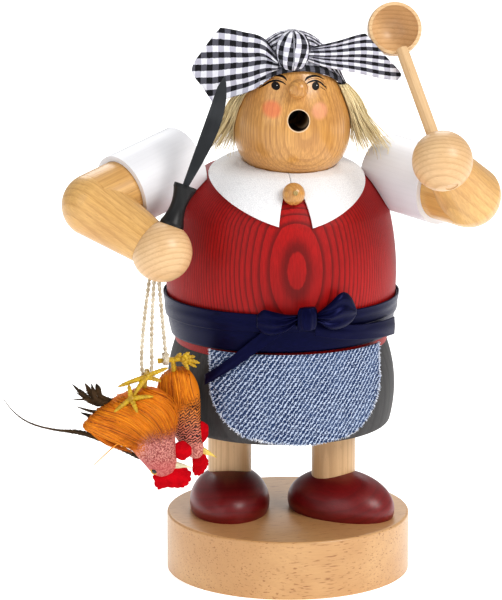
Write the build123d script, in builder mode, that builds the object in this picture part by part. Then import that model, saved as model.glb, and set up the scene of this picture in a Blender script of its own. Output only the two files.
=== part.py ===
# Incense smoker: a turned wooden cook who holds a knife, a spoon and a pair of fowl.
# The upper body lifts off the skirt, so that an incense cone can stand on the plate inside.
# Millimetres, +Z up, front along -Y, origin at the centre of the base's underside.
import os
from math import cos, pi, radians, sin, tan

from build123d import *

os.makedirs("parts", exist_ok=True)

# Clearances and the length by which a cut runs past its faces
glue_gap = 0.05
soft_gap = 0.2
lift_gap = 0.3
overrun = 4.0

# Base disc
base_radius = 50.0
base_height = 24.0
base_edge_round = 1.0

# The figure's own axis, beside and behind the middle of the base
figure_side = -2.3
figure_back = 4.4

# Legs: dowels that stand in the base, pass through the shoes and end in the skirt
leg_radius = 9.0
leg_rise = 37.4
leg_base_socket = 6.0
leg_skirt_socket = 14.0
leg_left_side = -20.8
leg_left_forward = -3.8
leg_right_side = 20.6
leg_right_forward = 8.5

# Shoes: flat-soled half eggs, turned outward
shoe_length = 50.0
shoe_width = 33.0
shoe_height = 17.5
shoe_belly_height = 3.5
shoe_reach = 4.0
shoe_left_turn = -9.0
shoe_right_turn = 41.0

# Skirt: the lower body, with a spigot that centres the upper body
skirt_floor_radius = 44.5
skirt_belly_radius = 46.7
skirt_belly_height = 13.0
skirt_height = 34.6
skirt_top_radius = 43.4
skirt_edge_round = 2.5
spigot_height = 5.0
vent_radius = 4.0
vent_back = 22.0

# Burner plate: a thin metal dish held by a pin
plate_radius = 15.0
plate_thickness = 0.8
plate_rim_height = 2.4
pin_radius = 0.9
pin_head_radius = 2.2
pin_head_height = 0.8
pin_depth = 9.0

# Torso: heights are counted from the seam between skirt and torso
seam_gap = 0.05
chest_radius = 47.1
chest_rise = 26.0
shoulder_radius = 44.0
shoulder_rise = 54.4
slope_radius = 39.0
slope_rise = 64.0
crown_radius = 31.0
crown_rise = 71.0
top_radius = 20.0
torso_height = 75.0
chamber_radius = 33.0
chamber_height = 55.0

# Head: an egg, fat end down, seated in a dish in the torso's top, forward of its axis
head_side = 2.6
head_forward = 10.5
head_turn = -3.0
head_radius = 23.4
head_rise = 18.2
head_height = 59.5
head_angles = (-75, -50, -25, 0, 25, 50, 75)
head_sink = 7.0
flue_radius = 4.4
neck_tube_wall = 2.6
neck_tube_depth = 9.0
mouth_radius = 4.25
mouth_rise = 27.5

# Nose: a small ball with a peg
nose_radius = 3.85
nose_rise = 40.2
nose_sink = 1.8
nose_peg_radius = 1.5
nose_peg_length = 7.0

# Collar: thin leather draped on the torso, with a notch in front
collar_radius = 31.0
collar_forward = 13.2
collar_thickness = 1.0
collar_notch_tip = 6.6
collar_notch_root = 1.6
collar_notch_side = -1.6
collar_notch_forward = 33.0

# Bead that closes the collar, pinned to the torso
bead_radius = 4.5
bead_side = -1.7
bead_forward = 40.0
bead_drop = 7.6
bead_pin_radius = 0.6
bead_pin_head = 1.0
bead_pin_length = 12.0
bead_pin_lean = 75.0

# Arms: sleeve, upper arm and forearm on each side
sleeve_radius = 15.2
sleeve_length = 32.0
sleeve_wall = 2.2
sleeve_bore_depth = 14.0
upper_arm_reach = 46.6
elbow_radius = 12.9
wrist_radius = 9.4
wrist_peg_radius = 3.5
wrist_peg_depth = 6.0
dowel_radius = 3.5
dowel_length = 23.0
dowel_inset = 13.5
dowel_drop = 11.6
shoulder_left_side = -40.8
shoulder_left_rise = 74.0
shoulder_right_side = 43.5
shoulder_right_rise = 68.3
arm_left_turn = -59.0
arm_left_dip = 14.9
arm_right_turn = 34.3
arm_right_dip = 4.8

# Hands: balls drilled for the wrist and for what they hold
hand_radius = 12.0
hand_left_side = -54.4
hand_left_forward = 40.0
hand_left_rise = 45.7
hand_right_side = 54.4
hand_right_forward = 58.2
hand_right_rise = 82.4

# Knife: a waisted handle and a flat blade
knife_lean_side = 21.6
knife_lean_back = 9.3
knife_handle_sink = 6.0
knife_handle_top = 27.9
knife_foot_radius = 4.9
knife_waist_radius = 3.2
knife_guard_radius = 4.65
knife_guard_height = 1.4
knife_waist_share = 0.612
blade_tip = 74.0
blade_width = 5.2
blade_root_width = 2.5
blade_thickness = 0.9
blade_tang = 9.0
blade_shoulder_share = 0.32
blade_belly_share = 0.78

# Spoon: a dowel through the hand and a hollowed ball
spoon_lean_side = 14.4
spoon_lean_back = 39.0
spoon_handle_radius = 2.5
spoon_handle_below = 11.4
spoon_reach = 61.6
bowl_radius = 10.9
bowl_wall = 1.5
bowl_face_share = 0.28
bowl_face_lift = 16.0
bowl_face_turn = -5.0
spoon_handle_seat = 1.2

# Kerchief: a cap over the head, a knot and two flared ends; shares are of each end's length
cap_thickness = 1.3
cap_edge_height = 29.9
cap_edge_slope = 43.0
knot_width = 13.2
knot_height = 16.0
knot_depth = 9.5
knot_shares = ((-1.0, 0.24), (-0.8, 0.64), (-0.35, 0.95), (0.1, 1.0), (0.5, 0.86), (0.85, 0.52), (1.0, 0.2))
knot_forward = 16.6
knot_rise = 54.6
knot_side = -2.6
end_thickness = 1.8
end_fold = 1.3
end_fold_shares = ((-1.0, -0.3), (-0.6, 0.9), (-0.15, -0.9), (0.35, 0.9), (1.0, -0.4))
end_left_length = 35.0
end_left_turn = 18.4
end_left_shares = ((0.0, -0.08), (0.17, 0.14), (0.67, 0.24), (0.8, 0.09), (1.0, -0.21), (0.87, -0.48),
                   (0.75, -0.6), (0.57, -0.56), (0.28, -0.46), (0.0, -0.26))
end_left_section_shares = ((0.0, -0.17, 0.2, 0.5), (0.35, -0.16, 0.4, 0.9), (1.0, -0.17, 0.6, 1.3))
end_right_length = 38.0
end_right_turn = 1.2
end_right_shares = ((0.0, 0.04), (0.3, 0.09), (0.59, 0.16), (0.67, 0.12), (1.0, -0.29), (0.95, -0.33),
                    (0.83, -0.32), (0.53, -0.25), (0.18, -0.17), (0.0, -0.1))
end_right_section_shares = ((0.0, -0.03, 0.15, 0.4), (0.35, -0.05, 0.25, 0.6), (1.0, -0.12, 0.4, 0.7))

# Hair: a bundle of fibres on each side, rooted under the cap; shares are of the head's radius
hair_depth = 7.0
hair_left_shares = ((-0.84, -0.24, 1.58, 0.36), (-1.0, -0.3, 1.05, 0.44), (-1.2, -0.36, 0.5, 0.5))
hair_right_shares = ((0.88, 0.0, 1.6, 0.28), (1.12, 0.02, 1.07, 0.42), (1.38, 0.04, 0.5, 0.6))

# Waist ribbon: two overlapping wraps of satin
ribbon_rise = 3.6
ribbon_height = 16.6
ribbon_lap = 8.4
ribbon_thickness = 0.7

# Bow: flat outlines wrapped on a cylinder in front of the ribbon; shares are of the bow's unit
bow_gap = 0.3
bow_unit = 10.0
bow_side = 1.8
bow_rise = 19.4
bow_knot_width = 8.0
bow_knot_height = 9.0
bow_knot_depth = 6.0
bow_loop_depth = 3.6
bow_left_loop_shares = ((-0.44, -0.14), (-1.08, -0.6), (-1.7, -0.58), (-1.92, -0.2), (-1.58, 0.32),
                        (-0.44, 0.12))
bow_right_loop_shares = ((0.44, -0.14), (1.02, -0.58), (1.77, -0.38), (2.08, 0.1), (1.58, 0.9), (1.28, 0.92),
                         (0.44, 0.14))
bow_left_tail_shares = ((-0.44, -0.5), (-0.8, -0.5), (-3.84, -3.0), (-3.8, -2.62), (-1.1, -0.1),
                        (-0.44, -0.2))
bow_right_tail_shares = ((0.44, -0.82), (2.0, -1.12), (4.14, -1.38), (3.92, -0.64), (2.1, -0.5),
                         (0.44, -0.2))

# Apron: denim that hangs from the ribbon and follows the skirt, clear of it when the upper body lifts
apron_gap = 0.45
apron_thickness = 1.2
apron_half_width = 34.9
apron_drop = 37.0
apron_corner_round = 15.0
apron_sag = 7.0
apron_side = 0.4

# Twine, fowl and feathers: places are right of the twine's hole, above it and before it,
# seen from the front left, as shares of the fowl's unit
fowl_unit = 10.0
fowl_turn = -9.0
twine_radius = 0.8
twine_bend_share = 0.45
twine_hole_radius = 3.0
twine_hole_depth = 1.8
twine_hole_offset = -3.3
twine_near_shares = ((-0.16, 0.14, 0.0), (-0.46, -1.9, 0.1), (-0.54, -3.95, 0.2), (-0.07, -3.95, 0.2),
                     (-0.13, -2.0, 0.1), (0.02, 0.14, 0.0))
twine_far_shares = ((0.18, 0.14, -0.04), (0.32, -1.7, -0.3), (0.44, -3.17, -0.5))
tie_radius = 2.6
tie_width = 3.2
tie_share = (0.44, -3.3, -0.5)
leg_bundle_radius = 1.1
toe_radius = 0.6
joint_share = 1.08
near_leg_shares = ((-0.305, -3.74, -0.25), (-0.305, -3.74, 0.75))
near_hip_shares = ((-0.36, -3.74, 0.5), (-0.42, -4.7, 0.4))
near_toe_shares = (((-0.305, -3.74, 0.75), (-0.89, -4.56, 1.06)), ((-0.89, -4.56, 1.06), (-1.62, -5.16, 0.96)),
                   ((-0.89, -4.56, 1.06), (-0.02, -4.46, 1.02)), ((-0.89, -4.56, 1.06), (-0.64, -5.02, 1.4)),
                   ((-0.305, -3.74, 0.75), (-1.42, -4.12, 0.8)), ((-0.305, -3.74, 0.75), (0.28, -3.9, 0.8)))
far_leg_shares = ((0.12, -3.4, -0.5), (1.1, -3.3, -0.5))
far_hip_shares = ((0.72, -3.34, -0.5), (0.8, -4.3, -0.8))
far_toe_shares = (((1.1, -3.3, -0.5), (1.79, -3.47, -0.5)), ((1.1, -3.3, -0.5), (1.4, -3.0, -0.4)),
                  ((1.1, -3.3, -0.5), (1.36, -3.72, -0.3)))
near_front_share = 0.42
near_body_shares = ((-2.86, -5.84, 0.1), (-2.2, -5.66, 0.56), (-1.4, -5.56, 1.0), (-0.5, -5.52, 1.26),
                    (0.2, -5.54, 1.18), (0.64, -5.6, 0.82), (0.86, -5.64, 0.3))
near_neck_turn = -68.0
near_neck_shares = ((-0.4, -5.7, 1.1), (-0.04, -6.5, 0.92), (0.22, -7.16, 0.68), (0.4, -7.6, 0.52),
                    (0.5, -7.86, 0.24))
near_head_share = (0.36, -7.42, 0.56)
far_front_share = -0.86
far_body_turn = -72.0
far_body_shares = ((0.74, -3.78, 0.16), (0.78, -4.05, 0.62), (0.86, -4.7, 0.9), (1.0, -5.4, 0.86),
                   (1.24, -6.2, 0.62), (1.46, -6.85, 0.45), (1.64, -7.3, 0.34), (1.72, -7.52, 0.14))
far_head_share = (1.56, -7.06, 0.4)
body_depth_share = 0.69
felt_thickness = 1.6
near_comb_shares = ((-0.04, -7.7), (-0.04, -7.98), (0.12, -8.42), (0.48, -8.36), (0.88, -8.38), (1.2, -8.32),
                    (1.42, -8.02), (1.3, -7.62), (0.6, -7.5))
near_wattle_shares = ((0.7, -6.7), (1.05, -6.46), (1.36, -6.6), (1.47, -6.9), (1.2, -7.22), (0.8, -7.1))
far_comb_shares = ((1.5, -7.3), (1.52, -8.1), (1.8, -8.2), (2.05, -7.9), (2.11, -7.62), (1.85, -7.2))
far_wattle_shares = ((1.5, -6.8), (1.54, -6.2), (1.74, -6.0), (2.06, -6.1), (2.12, -6.5), (1.84, -6.94))
beak_radius = 1.7
beak_length = 6.0
beak_sink = 1.5
near_beak_turn = -6.0
far_beak_turn = -24.0
eye_radius = 1.1
near_eye_share = (0.02, -7.62, 0.625)
feather_thickness = 0.9
near_feather_shares = ((-1.55, -4.9), (-1.75, -4.45), (-1.95, -4.12), (-2.2, -4.08), (-2.7, -4.14),
                       (-2.78, -4.34), (-3.22, -4.1), (-3.06, -4.6), (-3.35, -4.78), (-2.8, -5.0),
                       (-2.8, -5.3), (-2.2, -5.5))
plume_shares = ((-0.5, -7.2, 0.1), (-1.3, -6.78, 0.14), (-2.2, -6.36, 0.16), (-2.91, -6.12, 0.13),
                (-3.9, -6.0, 0.1), (-4.61, -5.84, 0.09), (-5.2, -5.58, 0.08), (-5.68, -5.16, 0.07),
                (-6.03, -4.68, 0.04))


def spot(side, forward, height):
    # A place given from the figure's own axis, with the front along -Y
    return Vector(figure_side + side, figure_back - forward, height)


def heading(turn):
    # The level direction that faces forward, turned toward +X
    return Vector(sin(radians(turn)), -cos(radians(turn)), 0)


def upright(origin, turn):
    # An upright plane that faces forward, turned toward +X, with its own x to the right
    return Plane(origin=origin, x_dir=(cos(radians(turn)), sin(radians(turn)), 0), z_dir=heading(turn))


def save(part, name):
    part.label = name
    export_step(part, f"parts/{name}.step")


# Heights and axes that several pieces share
skirt_floor = base_height + leg_rise
seam = skirt_floor + skirt_height
torso_floor = seam + seam_gap
figure_axis = Axis(spot(0, 0, 0), (0, 0, 1))
figure_section = Plane(origin=spot(0, 0, 0), x_dir=(1, 0, 0), z_dir=(0, -1, 0))
head_floor = torso_floor + torso_height - head_sink
head_axis = Axis(spot(head_side, head_forward, 0), (0, 0, 1))
head_section = Plane(origin=spot(head_side, head_forward, head_floor), x_dir=(1, 0, 0), z_dir=(0, -1, 0))
face_section = upright(spot(head_side, head_forward, head_floor), head_turn)
nose_lift = (nose_rise - head_rise) / (head_height - head_rise)
nose_reach = head_radius * (1 - nose_lift**2) ** (1 / 2)
nose_place = face_section.from_local_coords((0, nose_rise, nose_reach + nose_radius - nose_sink))


# Base
with BuildPart() as base:
    with BuildSketch(Plane.XY):
        Circle(base_radius)
    extrude(amount=base_height)
    fillet(base.edges().sort_by(Axis.Z)[-1], base_edge_round)
    for side, forward in ((leg_left_side, leg_left_forward), (leg_right_side, leg_right_forward)):
        with BuildSketch(Plane(spot(side, forward, base_height - leg_base_socket))):
            Circle(leg_radius + glue_gap)
        extrude(amount=leg_base_socket + overrun, mode=Mode.SUBTRACT)
save(base.part, "base")


# Legs and shoes
def make_leg(side, forward):
    with BuildPart() as leg:
        with BuildSketch(Plane(spot(side, forward, base_height - leg_base_socket + glue_gap))):
            Circle(leg_radius)
        extrude(amount=leg_base_socket + leg_rise + leg_skirt_socket - glue_gap - glue_gap)
    return leg.part


def make_shoe(side, forward, turn):
    reach_side = side + shoe_reach * sin(radians(turn))
    reach_forward = forward + shoe_reach * cos(radians(turn))
    sole = Plane(spot(reach_side, reach_forward, base_height)).rotated((0, 0, turn))
    dome = scale(Sphere(1), by=(shoe_width / 2, shoe_length / 2, shoe_height - shoe_belly_height))
    with BuildPart() as shoe:
        add(sole.offset(shoe_belly_height).location * dome)
        split(bisect_by=sole, keep=Keep.TOP)
        with BuildSketch(Plane(spot(side, forward, base_height))):
            Circle(leg_radius + glue_gap)
        extrude(amount=shoe_height + overrun, mode=Mode.SUBTRACT)
    return shoe.part


save(make_leg(leg_left_side, leg_left_forward), "leg_left")
save(make_leg(leg_right_side, leg_right_forward), "leg_right")
save(make_shoe(leg_left_side, leg_left_forward, shoe_left_turn), "shoe_left")
save(make_shoe(leg_right_side, leg_right_forward, shoe_right_turn), "shoe_right")


# Skirt
spigot_radius = chamber_radius - lift_gap
with BuildPart() as skirt:
    with BuildSketch(figure_section):
        with BuildLine():
            Spline(
                (skirt_floor_radius, skirt_floor),
                (skirt_belly_radius, skirt_floor + skirt_belly_height),
                (skirt_top_radius, seam),
            )
            Polyline(
                (skirt_top_radius, seam),
                (spigot_radius, seam),
                (spigot_radius, seam + spigot_height),
                (0, seam + spigot_height),
                (0, skirt_floor),
                (skirt_floor_radius, skirt_floor),
            )
        make_face()
    revolve(axis=figure_axis)
    fillet(skirt.edges().filter_by(GeomType.CIRCLE).group_by(Axis.Z)[0], skirt_edge_round)
    for side, forward in ((leg_left_side, leg_left_forward), (leg_right_side, leg_right_forward)):
        with BuildSketch(Plane(spot(side, forward, skirt_floor - overrun))):
            Circle(leg_radius + glue_gap)
        extrude(amount=overrun + leg_skirt_socket, mode=Mode.SUBTRACT)
    with BuildSketch(Plane(spot(0, -vent_back, skirt_floor - overrun))):
        Circle(vent_radius)
    extrude(amount=overrun + skirt_height + spigot_height + overrun, mode=Mode.SUBTRACT)
    with BuildSketch(Plane(spot(0, 0, seam + spigot_height - pin_depth - glue_gap))):
        Circle(pin_radius + glue_gap)
    extrude(amount=pin_depth + overrun, mode=Mode.SUBTRACT)
save(skirt.part, "skirt")


# Burner plate and its pin
plate_floor = seam + spigot_height
with BuildPart() as burner_plate:
    with BuildSketch(Plane(spot(0, 0, plate_floor))):
        Circle(plate_radius)
    extrude(amount=plate_rim_height)
    with BuildSketch(Plane(spot(0, 0, plate_floor + plate_thickness))):
        Circle(plate_radius - plate_thickness)
    extrude(amount=plate_rim_height, mode=Mode.SUBTRACT)
    with BuildSketch(Plane(spot(0, 0, plate_floor - overrun))):
        Circle(pin_radius + glue_gap)
    extrude(amount=overrun + plate_thickness + overrun, mode=Mode.SUBTRACT)
save(burner_plate.part, "burner_plate")

with BuildPart() as plate_pin:
    with BuildSketch(Plane(spot(0, 0, plate_floor - pin_depth))):
        Circle(pin_radius)
    extrude(amount=pin_depth + plate_thickness)
    with BuildSketch(Plane(spot(0, 0, plate_floor + plate_thickness))):
        Circle(pin_head_radius)
    extrude(amount=pin_head_height)
save(plate_pin.part, "plate_pin")


# Solid bodies of the torso and the head, grown by a skin, from which coverings are cut
def make_torso_body(skin):
    top = torso_floor + torso_height + skin
    with BuildPart() as body:
        with BuildSketch(figure_section):
            with BuildLine():
                Spline(
                    (skirt_top_radius + skin, torso_floor),
                    (chest_radius + skin, torso_floor + chest_rise),
                    (shoulder_radius + skin, torso_floor + shoulder_rise),
                )
                ThreePointArc(
                    (shoulder_radius + skin, torso_floor + shoulder_rise),
                    (slope_radius + skin, torso_floor + slope_rise + skin),
                    (crown_radius, torso_floor + crown_rise + skin),
                )
                Polyline(
                    (crown_radius, torso_floor + crown_rise + skin),
                    (top_radius, top),
                    (0, top),
                    (0, torso_floor),
                    (skirt_top_radius + skin, torso_floor),
                )
            make_face()
        revolve(axis=figure_axis)
    return body.part


def make_head_body(skin):
    # An egg: half an ellipse with one height below its widest level and another above
    width = head_radius + skin
    outline = []
    for angle in head_angles:
        height = head_height - head_rise if angle > 0 else head_rise
        outline.append((width * cos(radians(angle)), head_rise + (height + skin) * sin(radians(angle))))
    with BuildPart() as body:
        with BuildSketch(head_section):
            with BuildLine():
                Spline((0, -skin), *outline, (0, head_height + skin))
                Line((0, head_height + skin), (0, -skin))
            make_face()
        revolve(axis=head_axis)
    return body.part


torso_body = make_torso_body(0)
head_body = make_head_body(0)
head_seat = make_head_body(glue_gap)
neck_tube_radius = flue_radius + neck_tube_wall
neck_foot = torso_floor + chamber_height
shoulder_left = spot(shoulder_left_side, 0, torso_floor + shoulder_left_rise)
shoulder_right = spot(shoulder_right_side, 0, torso_floor + shoulder_right_rise)
hand_left = spot(hand_left_side, hand_left_forward, torso_floor + hand_left_rise)
hand_right = spot(hand_right_side, hand_right_forward, torso_floor + hand_right_rise)
arm_left_axis = (heading(arm_left_turn) - Vector(0, 0, tan(radians(arm_left_dip)))).normalized()
arm_right_axis = (heading(arm_right_turn) - Vector(0, 0, tan(radians(arm_right_dip)))).normalized()
dowel_height = torso_floor + torso_height - dowel_drop
bead_height = torso_floor + torso_height - bead_drop
bead_place = spot(bead_side, bead_forward, bead_height)
bead_axis = Vector(0, -sin(radians(bead_pin_lean)), cos(radians(bead_pin_lean)))


# Torso: hollow below, with a flue to the head, a dish for the head and seats for dowels and bead
def dowel_plane(sign):
    place = spot(sign * (slope_radius - dowel_inset), 0, dowel_height)
    return Plane(place, x_dir=(0, 1, 0), z_dir=(sign, 0, 0))


with BuildPart() as torso:
    add(torso_body)
    with BuildSketch(Plane(spot(0, 0, torso_floor - overrun))):
        Circle(chamber_radius)
    extrude(amount=overrun + chamber_height, mode=Mode.SUBTRACT)
    add(head_seat, mode=Mode.SUBTRACT)
    with BuildSketch(Plane(spot(head_side, head_forward, neck_foot - overrun))):
        Circle(neck_tube_radius + glue_gap)
    extrude(amount=overrun + torso_height, mode=Mode.SUBTRACT)
    for sign in (-1, 1):
        with BuildSketch(dowel_plane(sign)):
            Circle(dowel_radius + glue_gap)
        extrude(amount=dowel_length, mode=Mode.SUBTRACT)
    with Locations(bead_place):
        Sphere(bead_radius + glue_gap, mode=Mode.SUBTRACT)
    with BuildSketch(Plane(bead_place, z_dir=bead_axis * -1)):
        Circle(bead_pin_radius + glue_gap)
    extrude(amount=bead_pin_length, mode=Mode.SUBTRACT)
save(torso.part, "torso")

with BuildPart() as neck_tube:
    with BuildSketch(Plane(spot(head_side, head_forward, neck_foot))):
        Circle(neck_tube_radius)
        Circle(flue_radius, mode=Mode.SUBTRACT)
    extrude(amount=head_floor + neck_tube_depth - neck_foot)
save(neck_tube.part, "neck_tube")


# Head: drilled from below, with the mouth drilled in from the front
with BuildPart() as head:
    add(head_body)
    with BuildSketch(Plane(spot(head_side, head_forward, head_floor - overrun))):
        Circle(neck_tube_radius + glue_gap)
    extrude(amount=overrun + neck_tube_depth + glue_gap, mode=Mode.SUBTRACT)
    with BuildSketch(Plane(spot(head_side, head_forward, head_floor))):
        Circle(flue_radius)
    extrude(amount=mouth_rise, mode=Mode.SUBTRACT)
    with BuildSketch(face_section):
        with Locations((0, mouth_rise)):
            Circle(mouth_radius)
    extrude(amount=head_radius + overrun, mode=Mode.SUBTRACT)
    with BuildSketch(Plane(nose_place, z_dir=face_section.z_dir * -1)):
        Circle(nose_peg_radius + glue_gap)
    extrude(amount=nose_peg_length + glue_gap, mode=Mode.SUBTRACT)
save(head.part, "head")

# Nose and its peg
with BuildPart() as nose:
    with Locations(nose_place):
        Sphere(nose_radius)
    add(head_seat, mode=Mode.SUBTRACT)
    with BuildSketch(Plane(nose_place, z_dir=face_section.z_dir * -1)):
        Circle(nose_peg_radius)
    extrude(amount=nose_peg_length)
save(nose.part, "nose")


# Sleeves, arms and hands
def make_sleeve(shoulder, axis, sign):
    with BuildPart() as sleeve:
        with BuildSketch(Plane(shoulder, z_dir=axis)):
            Circle(sleeve_radius)
        extrude(amount=sleeve_length)
        with BuildSketch(Plane(shoulder + axis * (sleeve_length - sleeve_bore_depth), z_dir=axis)):
            Circle(sleeve_radius - sleeve_wall)
        extrude(amount=sleeve_bore_depth + overrun, mode=Mode.SUBTRACT)
        add(make_torso_body(soft_gap), mode=Mode.SUBTRACT)
        with BuildSketch(dowel_plane(sign)):
            Circle(dowel_radius + glue_gap)
        extrude(amount=dowel_length + glue_gap, mode=Mode.SUBTRACT)
    return sleeve.part


def make_forearm(shoulder, axis, hand):
    # Turned about the line from the elbow to the hand: a round end, a taper, a dish for the hand and a peg
    elbow = shoulder + axis * upper_arm_reach
    along = hand - elbow
    ball = hand_radius + glue_gap
    rim = along.length - (ball**2 - wrist_radius**2) ** (1 / 2)
    peg_root = along.length - (ball**2 - wrist_peg_radius**2) ** (1 / 2)
    dish_radius = (wrist_radius + wrist_peg_radius) / 2
    dish = along.length - (ball**2 - dish_radius**2) ** (1 / 2)
    peg_tip = along.length - hand_radius + wrist_peg_depth
    with BuildPart() as forearm:
        with BuildSketch(Plane(origin=elbow, x_dir=along, z_dir=along.cross(Vector(0, 0, 1)))):
            with BuildLine():
                CenterArc((0, 0), elbow_radius, start_angle=90, arc_size=90)
                Line((0, elbow_radius), (rim, wrist_radius))
                ThreePointArc((rim, wrist_radius), (dish, dish_radius), (peg_root, wrist_peg_radius))
                Polyline((peg_root, wrist_peg_radius), (peg_tip, wrist_peg_radius), (peg_tip, 0),
                         (-elbow_radius, 0))
            make_face()
        revolve(axis=Axis(elbow, along))
    return forearm.part


def make_upper_arm(shoulder, axis, forearm):
    start = shoulder + axis * (sleeve_length - sleeve_bore_depth + glue_gap)
    with BuildPart() as upper_arm:
        with BuildSketch(Plane(start, z_dir=axis)):
            Circle(sleeve_radius - sleeve_wall - glue_gap)
        extrude(amount=upper_arm_reach - sleeve_length + sleeve_bore_depth)
        add(forearm, mode=Mode.SUBTRACT)
    return upper_arm.part


def make_dowel(sign):
    with BuildPart() as dowel:
        with BuildSketch(dowel_plane(sign)):
            Circle(dowel_radius)
        extrude(amount=dowel_length - glue_gap)
    return dowel.part


save(make_dowel(-1), "shoulder_dowel_left")
save(make_dowel(1), "shoulder_dowel_right")
save(make_sleeve(shoulder_left, arm_left_axis, -1), "sleeve_left")
save(make_sleeve(shoulder_right, arm_right_axis, 1), "sleeve_right")
forearm_left = make_forearm(shoulder_left, arm_left_axis, hand_left)
forearm_right = make_forearm(shoulder_right, arm_right_axis, hand_right)
save(forearm_left, "forearm_left")
save(forearm_right, "forearm_right")
save(make_upper_arm(shoulder_left, arm_left_axis, forearm_left), "upper_arm_left")
save(make_upper_arm(shoulder_right, arm_right_axis, forearm_right), "upper_arm_right")

# Planes of the knife and the spoon: y runs along each, z faces forward
knife_axis = Vector(tan(radians(knife_lean_side)), tan(radians(knife_lean_back)), 1).normalized()
spoon_axis = Vector(-tan(radians(spoon_lean_side)), tan(radians(spoon_lean_back)), 1).normalized()
knife_plane = Plane(origin=hand_left, x_dir=knife_axis.cross(heading(fowl_turn)), z_dir=knife_axis)
blade_facing = knife_plane.y_dir * -1
blade_plane = Plane(origin=hand_left, x_dir=knife_axis.cross(blade_facing), z_dir=blade_facing)
hole_drop = (hand_radius**2 - twine_hole_offset**2) ** (1 / 2)
hole_mouth = hand_left + upright(hand_left, fowl_turn).x_dir * twine_hole_offset - Vector(0, 0, hole_drop)
fowl_plane = upright(hole_mouth, fowl_turn)

with BuildPart() as hand_left_ball:
    with Locations(hand_left):
        Sphere(hand_radius)
    wrist_axis = (shoulder_left + arm_left_axis * upper_arm_reach - hand_left).normalized()
    with BuildSketch(Plane(hand_left, z_dir=wrist_axis).offset(hand_radius - wrist_peg_depth - glue_gap)):
        Circle(wrist_peg_radius + glue_gap)
    extrude(amount=hand_radius, mode=Mode.SUBTRACT)
    with BuildSketch(knife_plane.offset(hand_radius - knife_handle_sink - glue_gap)):
        Circle(knife_foot_radius + glue_gap)
    extrude(amount=hand_radius, mode=Mode.SUBTRACT)
    with BuildSketch(Plane(hole_mouth + Vector(0, 0, twine_hole_depth), z_dir=(0, 0, -1))):
        Circle(twine_hole_radius)
    extrude(amount=hand_radius, mode=Mode.SUBTRACT)
save(hand_left_ball.part, "hand_left")

with BuildPart() as hand_right_ball:
    with Locations(hand_right):
        Sphere(hand_radius)
    wrist_axis = (shoulder_right + arm_right_axis * upper_arm_reach - hand_right).normalized()
    with BuildSketch(Plane(hand_right, z_dir=wrist_axis).offset(hand_radius - wrist_peg_depth - glue_gap)):
        Circle(wrist_peg_radius + glue_gap)
    extrude(amount=hand_radius, mode=Mode.SUBTRACT)
    with BuildSketch(Plane(hand_right, z_dir=spoon_axis).offset(-hand_radius - overrun)):
        Circle(spoon_handle_radius + glue_gap)
    extrude(amount=(hand_radius + overrun) * 2, mode=Mode.SUBTRACT)
save(hand_right_ball.part, "hand_right")

# Knife
handle_foot = hand_radius - knife_handle_sink
handle_waist = handle_foot + (knife_handle_top - handle_foot) * knife_waist_share
with BuildPart() as knife_handle:
    with BuildSketch(blade_plane):
        with BuildLine():
            Polyline(
                (0, knife_handle_top),
                (0, handle_foot),
                (knife_foot_radius, handle_foot),
                (knife_foot_radius, hand_radius),
            )
            Spline(
                (knife_foot_radius, hand_radius),
                (knife_waist_radius, handle_waist),
                (knife_guard_radius, knife_handle_top - knife_guard_height),
            )
            Polyline(
                (knife_guard_radius, knife_handle_top - knife_guard_height),
                (knife_guard_radius, knife_handle_top),
                (0, knife_handle_top),
            )
        make_face()
    revolve(axis=Axis(hand_left, knife_axis))
    with BuildSketch(knife_plane.offset(knife_handle_top - blade_tang - glue_gap)):
        Rectangle(blade_root_width + glue_gap * 2, blade_thickness + glue_gap * 2)
    extrude(amount=blade_tang + overrun, mode=Mode.SUBTRACT)
save(knife_handle.part, "knife_handle")

blade_run = blade_tip - knife_handle_top
with BuildPart() as knife_blade:
    with BuildSketch(blade_plane):
        with BuildLine():
            Polyline(
                (blade_root_width / 2, knife_handle_top),
                (blade_root_width / 2, knife_handle_top - blade_tang),
                (-blade_root_width / 2, knife_handle_top - blade_tang),
                (-blade_root_width / 2, knife_handle_top),
                (-blade_root_width / 2, blade_tip - blade_width),
                (0, blade_tip),
            )
            Spline(
                (0, blade_tip),
                (blade_width - blade_root_width / 2, knife_handle_top + blade_run * blade_belly_share),
                (blade_width - blade_root_width / 2, knife_handle_top + blade_run * blade_shoulder_share),
                (blade_root_width / 2, knife_handle_top),
            )
        make_face()
    extrude(amount=blade_thickness / 2, both=True)
save(knife_blade.part, "knife_blade")

# Spoon
bowl_centre = hand_right + spoon_axis * spoon_reach
bowl_facing = (heading(bowl_face_turn) + Vector(0, 0, tan(radians(bowl_face_lift)))).normalized()
with BuildPart() as spoon_bowl:
    with Locations(bowl_centre):
        Sphere(bowl_radius)
    bowl_face = Plane(bowl_centre + bowl_facing * (bowl_radius * bowl_face_share), z_dir=bowl_facing)
    split(bisect_by=bowl_face, keep=Keep.BOTTOM)
    with Locations(bowl_centre + bowl_facing * bowl_wall):
        Sphere(bowl_radius - bowl_wall, mode=Mode.SUBTRACT)
    with BuildSketch(Plane(hand_right, z_dir=spoon_axis).offset(spoon_reach - bowl_radius - overrun)):
        Circle(spoon_handle_radius + glue_gap)
    extrude(amount=overrun + spoon_handle_seat + glue_gap, mode=Mode.SUBTRACT)
save(spoon_bowl.part, "spoon_bowl")

with BuildPart() as spoon_handle:
    with BuildSketch(Plane(hand_right, z_dir=spoon_axis).offset(-spoon_handle_below)):
        Circle(spoon_handle_radius)
    extrude(amount=spoon_handle_below + spoon_reach - bowl_radius + spoon_handle_seat)
save(spoon_handle.part, "spoon_handle")

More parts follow.
